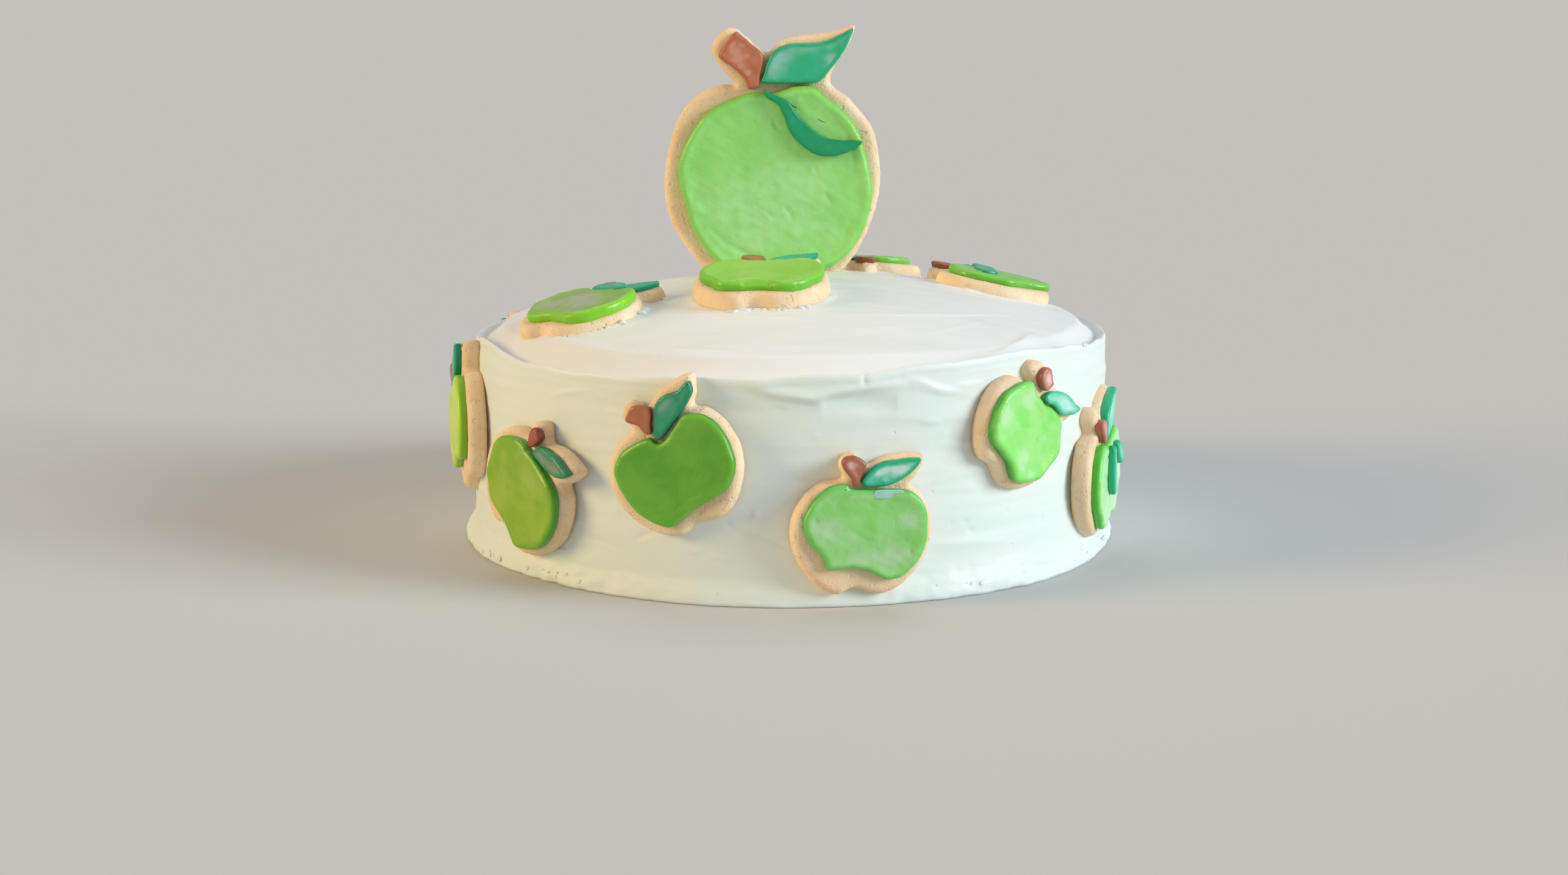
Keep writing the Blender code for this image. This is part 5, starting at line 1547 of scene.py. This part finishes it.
def add_stage():
    """A plain pale floor, soft lights from both sides and above, and an even surround."""
    mesh = bpy.data.meshes.new("floor")
    signs = ((-1, -1), (1, -1), (1, 1), (-1, 1))
    corners = [(x * FLOOR_HALF, y * FLOOR_HALF, FLOOR_HEIGHT) for x, y in signs]
    mesh.from_pydata(corners, [], [(0, 1, 2, 3)])
    made, _, shader = new_material("floor", 0.85)
    shader.inputs["Base Color"].default_value = FLOOR_COLOUR
    mesh.materials.append(made)
    add_object("floor", mesh)
    for light in LIGHTS:
        add_light(light)
    world = bpy.data.worlds.new("surround")
    world.use_nodes = True
    sky = world.node_tree.nodes["Background"]
    sky.inputs["Color"].default_value = SKY_COLOUR
    sky.inputs["Strength"].default_value = SKY_STRENGTH
    bpy.context.scene.world = world
    bpy.context.scene.view_settings.view_transform = "Standard"


def small_paints(kind, number, biscuit, tones):
    """The materials of one small biscuit, from the tones of its green, its stem and its leaf."""
    made = (icing_material(f"{part}_{kind}_{number}", tone)
            for part, tone in zip(("green", "stem", "leaf"), tones))
    return Paints(biscuit, *made)


def add_seen_side_biscuits(biscuit):
    """The six biscuits on the side that the photograph shows."""
    for number, place in enumerate(SEEN_SIDE_BISCUITS, start=1):
        name = f"side_{number}"
        tones = (SIDE_GREENS[number - 1], STEM_TONES[number - 1], LEAF_TONES[number - 1])
        paints = small_paints("side", number, biscuit, tones)
        matrix = side_frame(place)
        add_small_biscuit(name, matrix, own_shapes(number, place.size), SIDE_LAYERS,
                          VARIATION_SEED + number, paints)
        if number == STRIPPED_BISCUIT:
            above = (BISCUIT_THICK + ICING_THICK + 2 * TOUCH_GAP) / MM
            for label, points in (("long", STRIP_LONG), ("short", STRIP_SHORT)):
                add_leaf_strip(f"{name}_ribbon_{label}", f"{name}_strip_{label}", matrix, points, above,
                               STRIP_THICK / MM, paints.leaf, STRIP_SEED)
        if number == SMEARED_BISCUIT:
            under = (BISCUIT_THICK + ICING_THICK) / MM
            add_leaf_strip(f"{name}_smear", f"{name}_leaf", matrix, SMEAR_OUTLINE, under, SMEAR_THICK,
                           icing_material("smear", SMEAR), SMEAR_SEED)


def add_back_biscuits(biscuit):
    """The biscuits round the back, whose icing is one solid each."""
    for number, place in enumerate(BACK_SIDE_BISCUITS, start=1):
        green = SIDE_GREENS[number % BACK_TONE_COUNT]._replace(shift=20.0 + number)
        stem = STEM_TONES[(number + 1) % BACK_TONE_COUNT]
        leaf = LEAF_TONES[number % BACK_TONE_COUNT]
        paints = small_paints("back", number, biscuit, (green, stem, leaf))
        seed = VARIATION_SEED + 10 + number
        shapes = plain_shapes(place.size, seed, BACK_SPRIG_DROP)
        add_small_biscuit(f"back_{number}", side_frame(place), shapes, SIDE_LAYERS, seed, paints, True)


def add_top_biscuits(biscuit):
    """The four biscuits on the top, one of them with a wide, torn icing."""
    for number, place in enumerate(TOP_BISCUITS, start=1):
        name = f"top_{number}"
        tones = (TOP_GREENS[number - 1], STEM_TONES[TOP_SPRIG_TONE], LEAF_TONES[TOP_SPRIG_TONE])
        paints = small_paints("top", number, biscuit, tones)
        seed = VARIATION_SEED + 20 + number
        shapes = plain_shapes(place.size, seed)
        marks = ()
        if number == WIDE_ICED_BISCUIT:
            shapes = shapes._replace(icing=sized(SMALL_ICING, WIDE_ICING_SIZE, WIDE_ICING_SHIFT))
            marks = TORN_MARKS
        layers = Layers(place.thick, TOP_GREEN_THICKS[number - 1], TOP_SPRIG_THICK)
        add_small_biscuit(name, top_frame(place), shapes, layers, seed, paints, marks=marks)
        if number in TOP_DABS:
            under = (place.thick + layers.green) / MM - DAB_SUNK
            add_leaf_strip(f"{name}_dab", f"{name}_leaf", top_frame(place), TOP_DABS[number], under,
                           DAB_THICK, paints.leaf, DAB_SEED)


def main():
    """The whole cake, its camera and its stage."""
    frosting = frosting_material()
    biscuit = biscuit_material()
    make_frosting_top(frosting, make_frosting_wall(frosting))
    add_lumps(frosting)
    add_seen_side_biscuits(biscuit)
    add_back_biscuits(biscuit)
    add_top_biscuits(biscuit)
    add_large_biscuit(biscuit)
    add_camera()
    add_stage()


main()
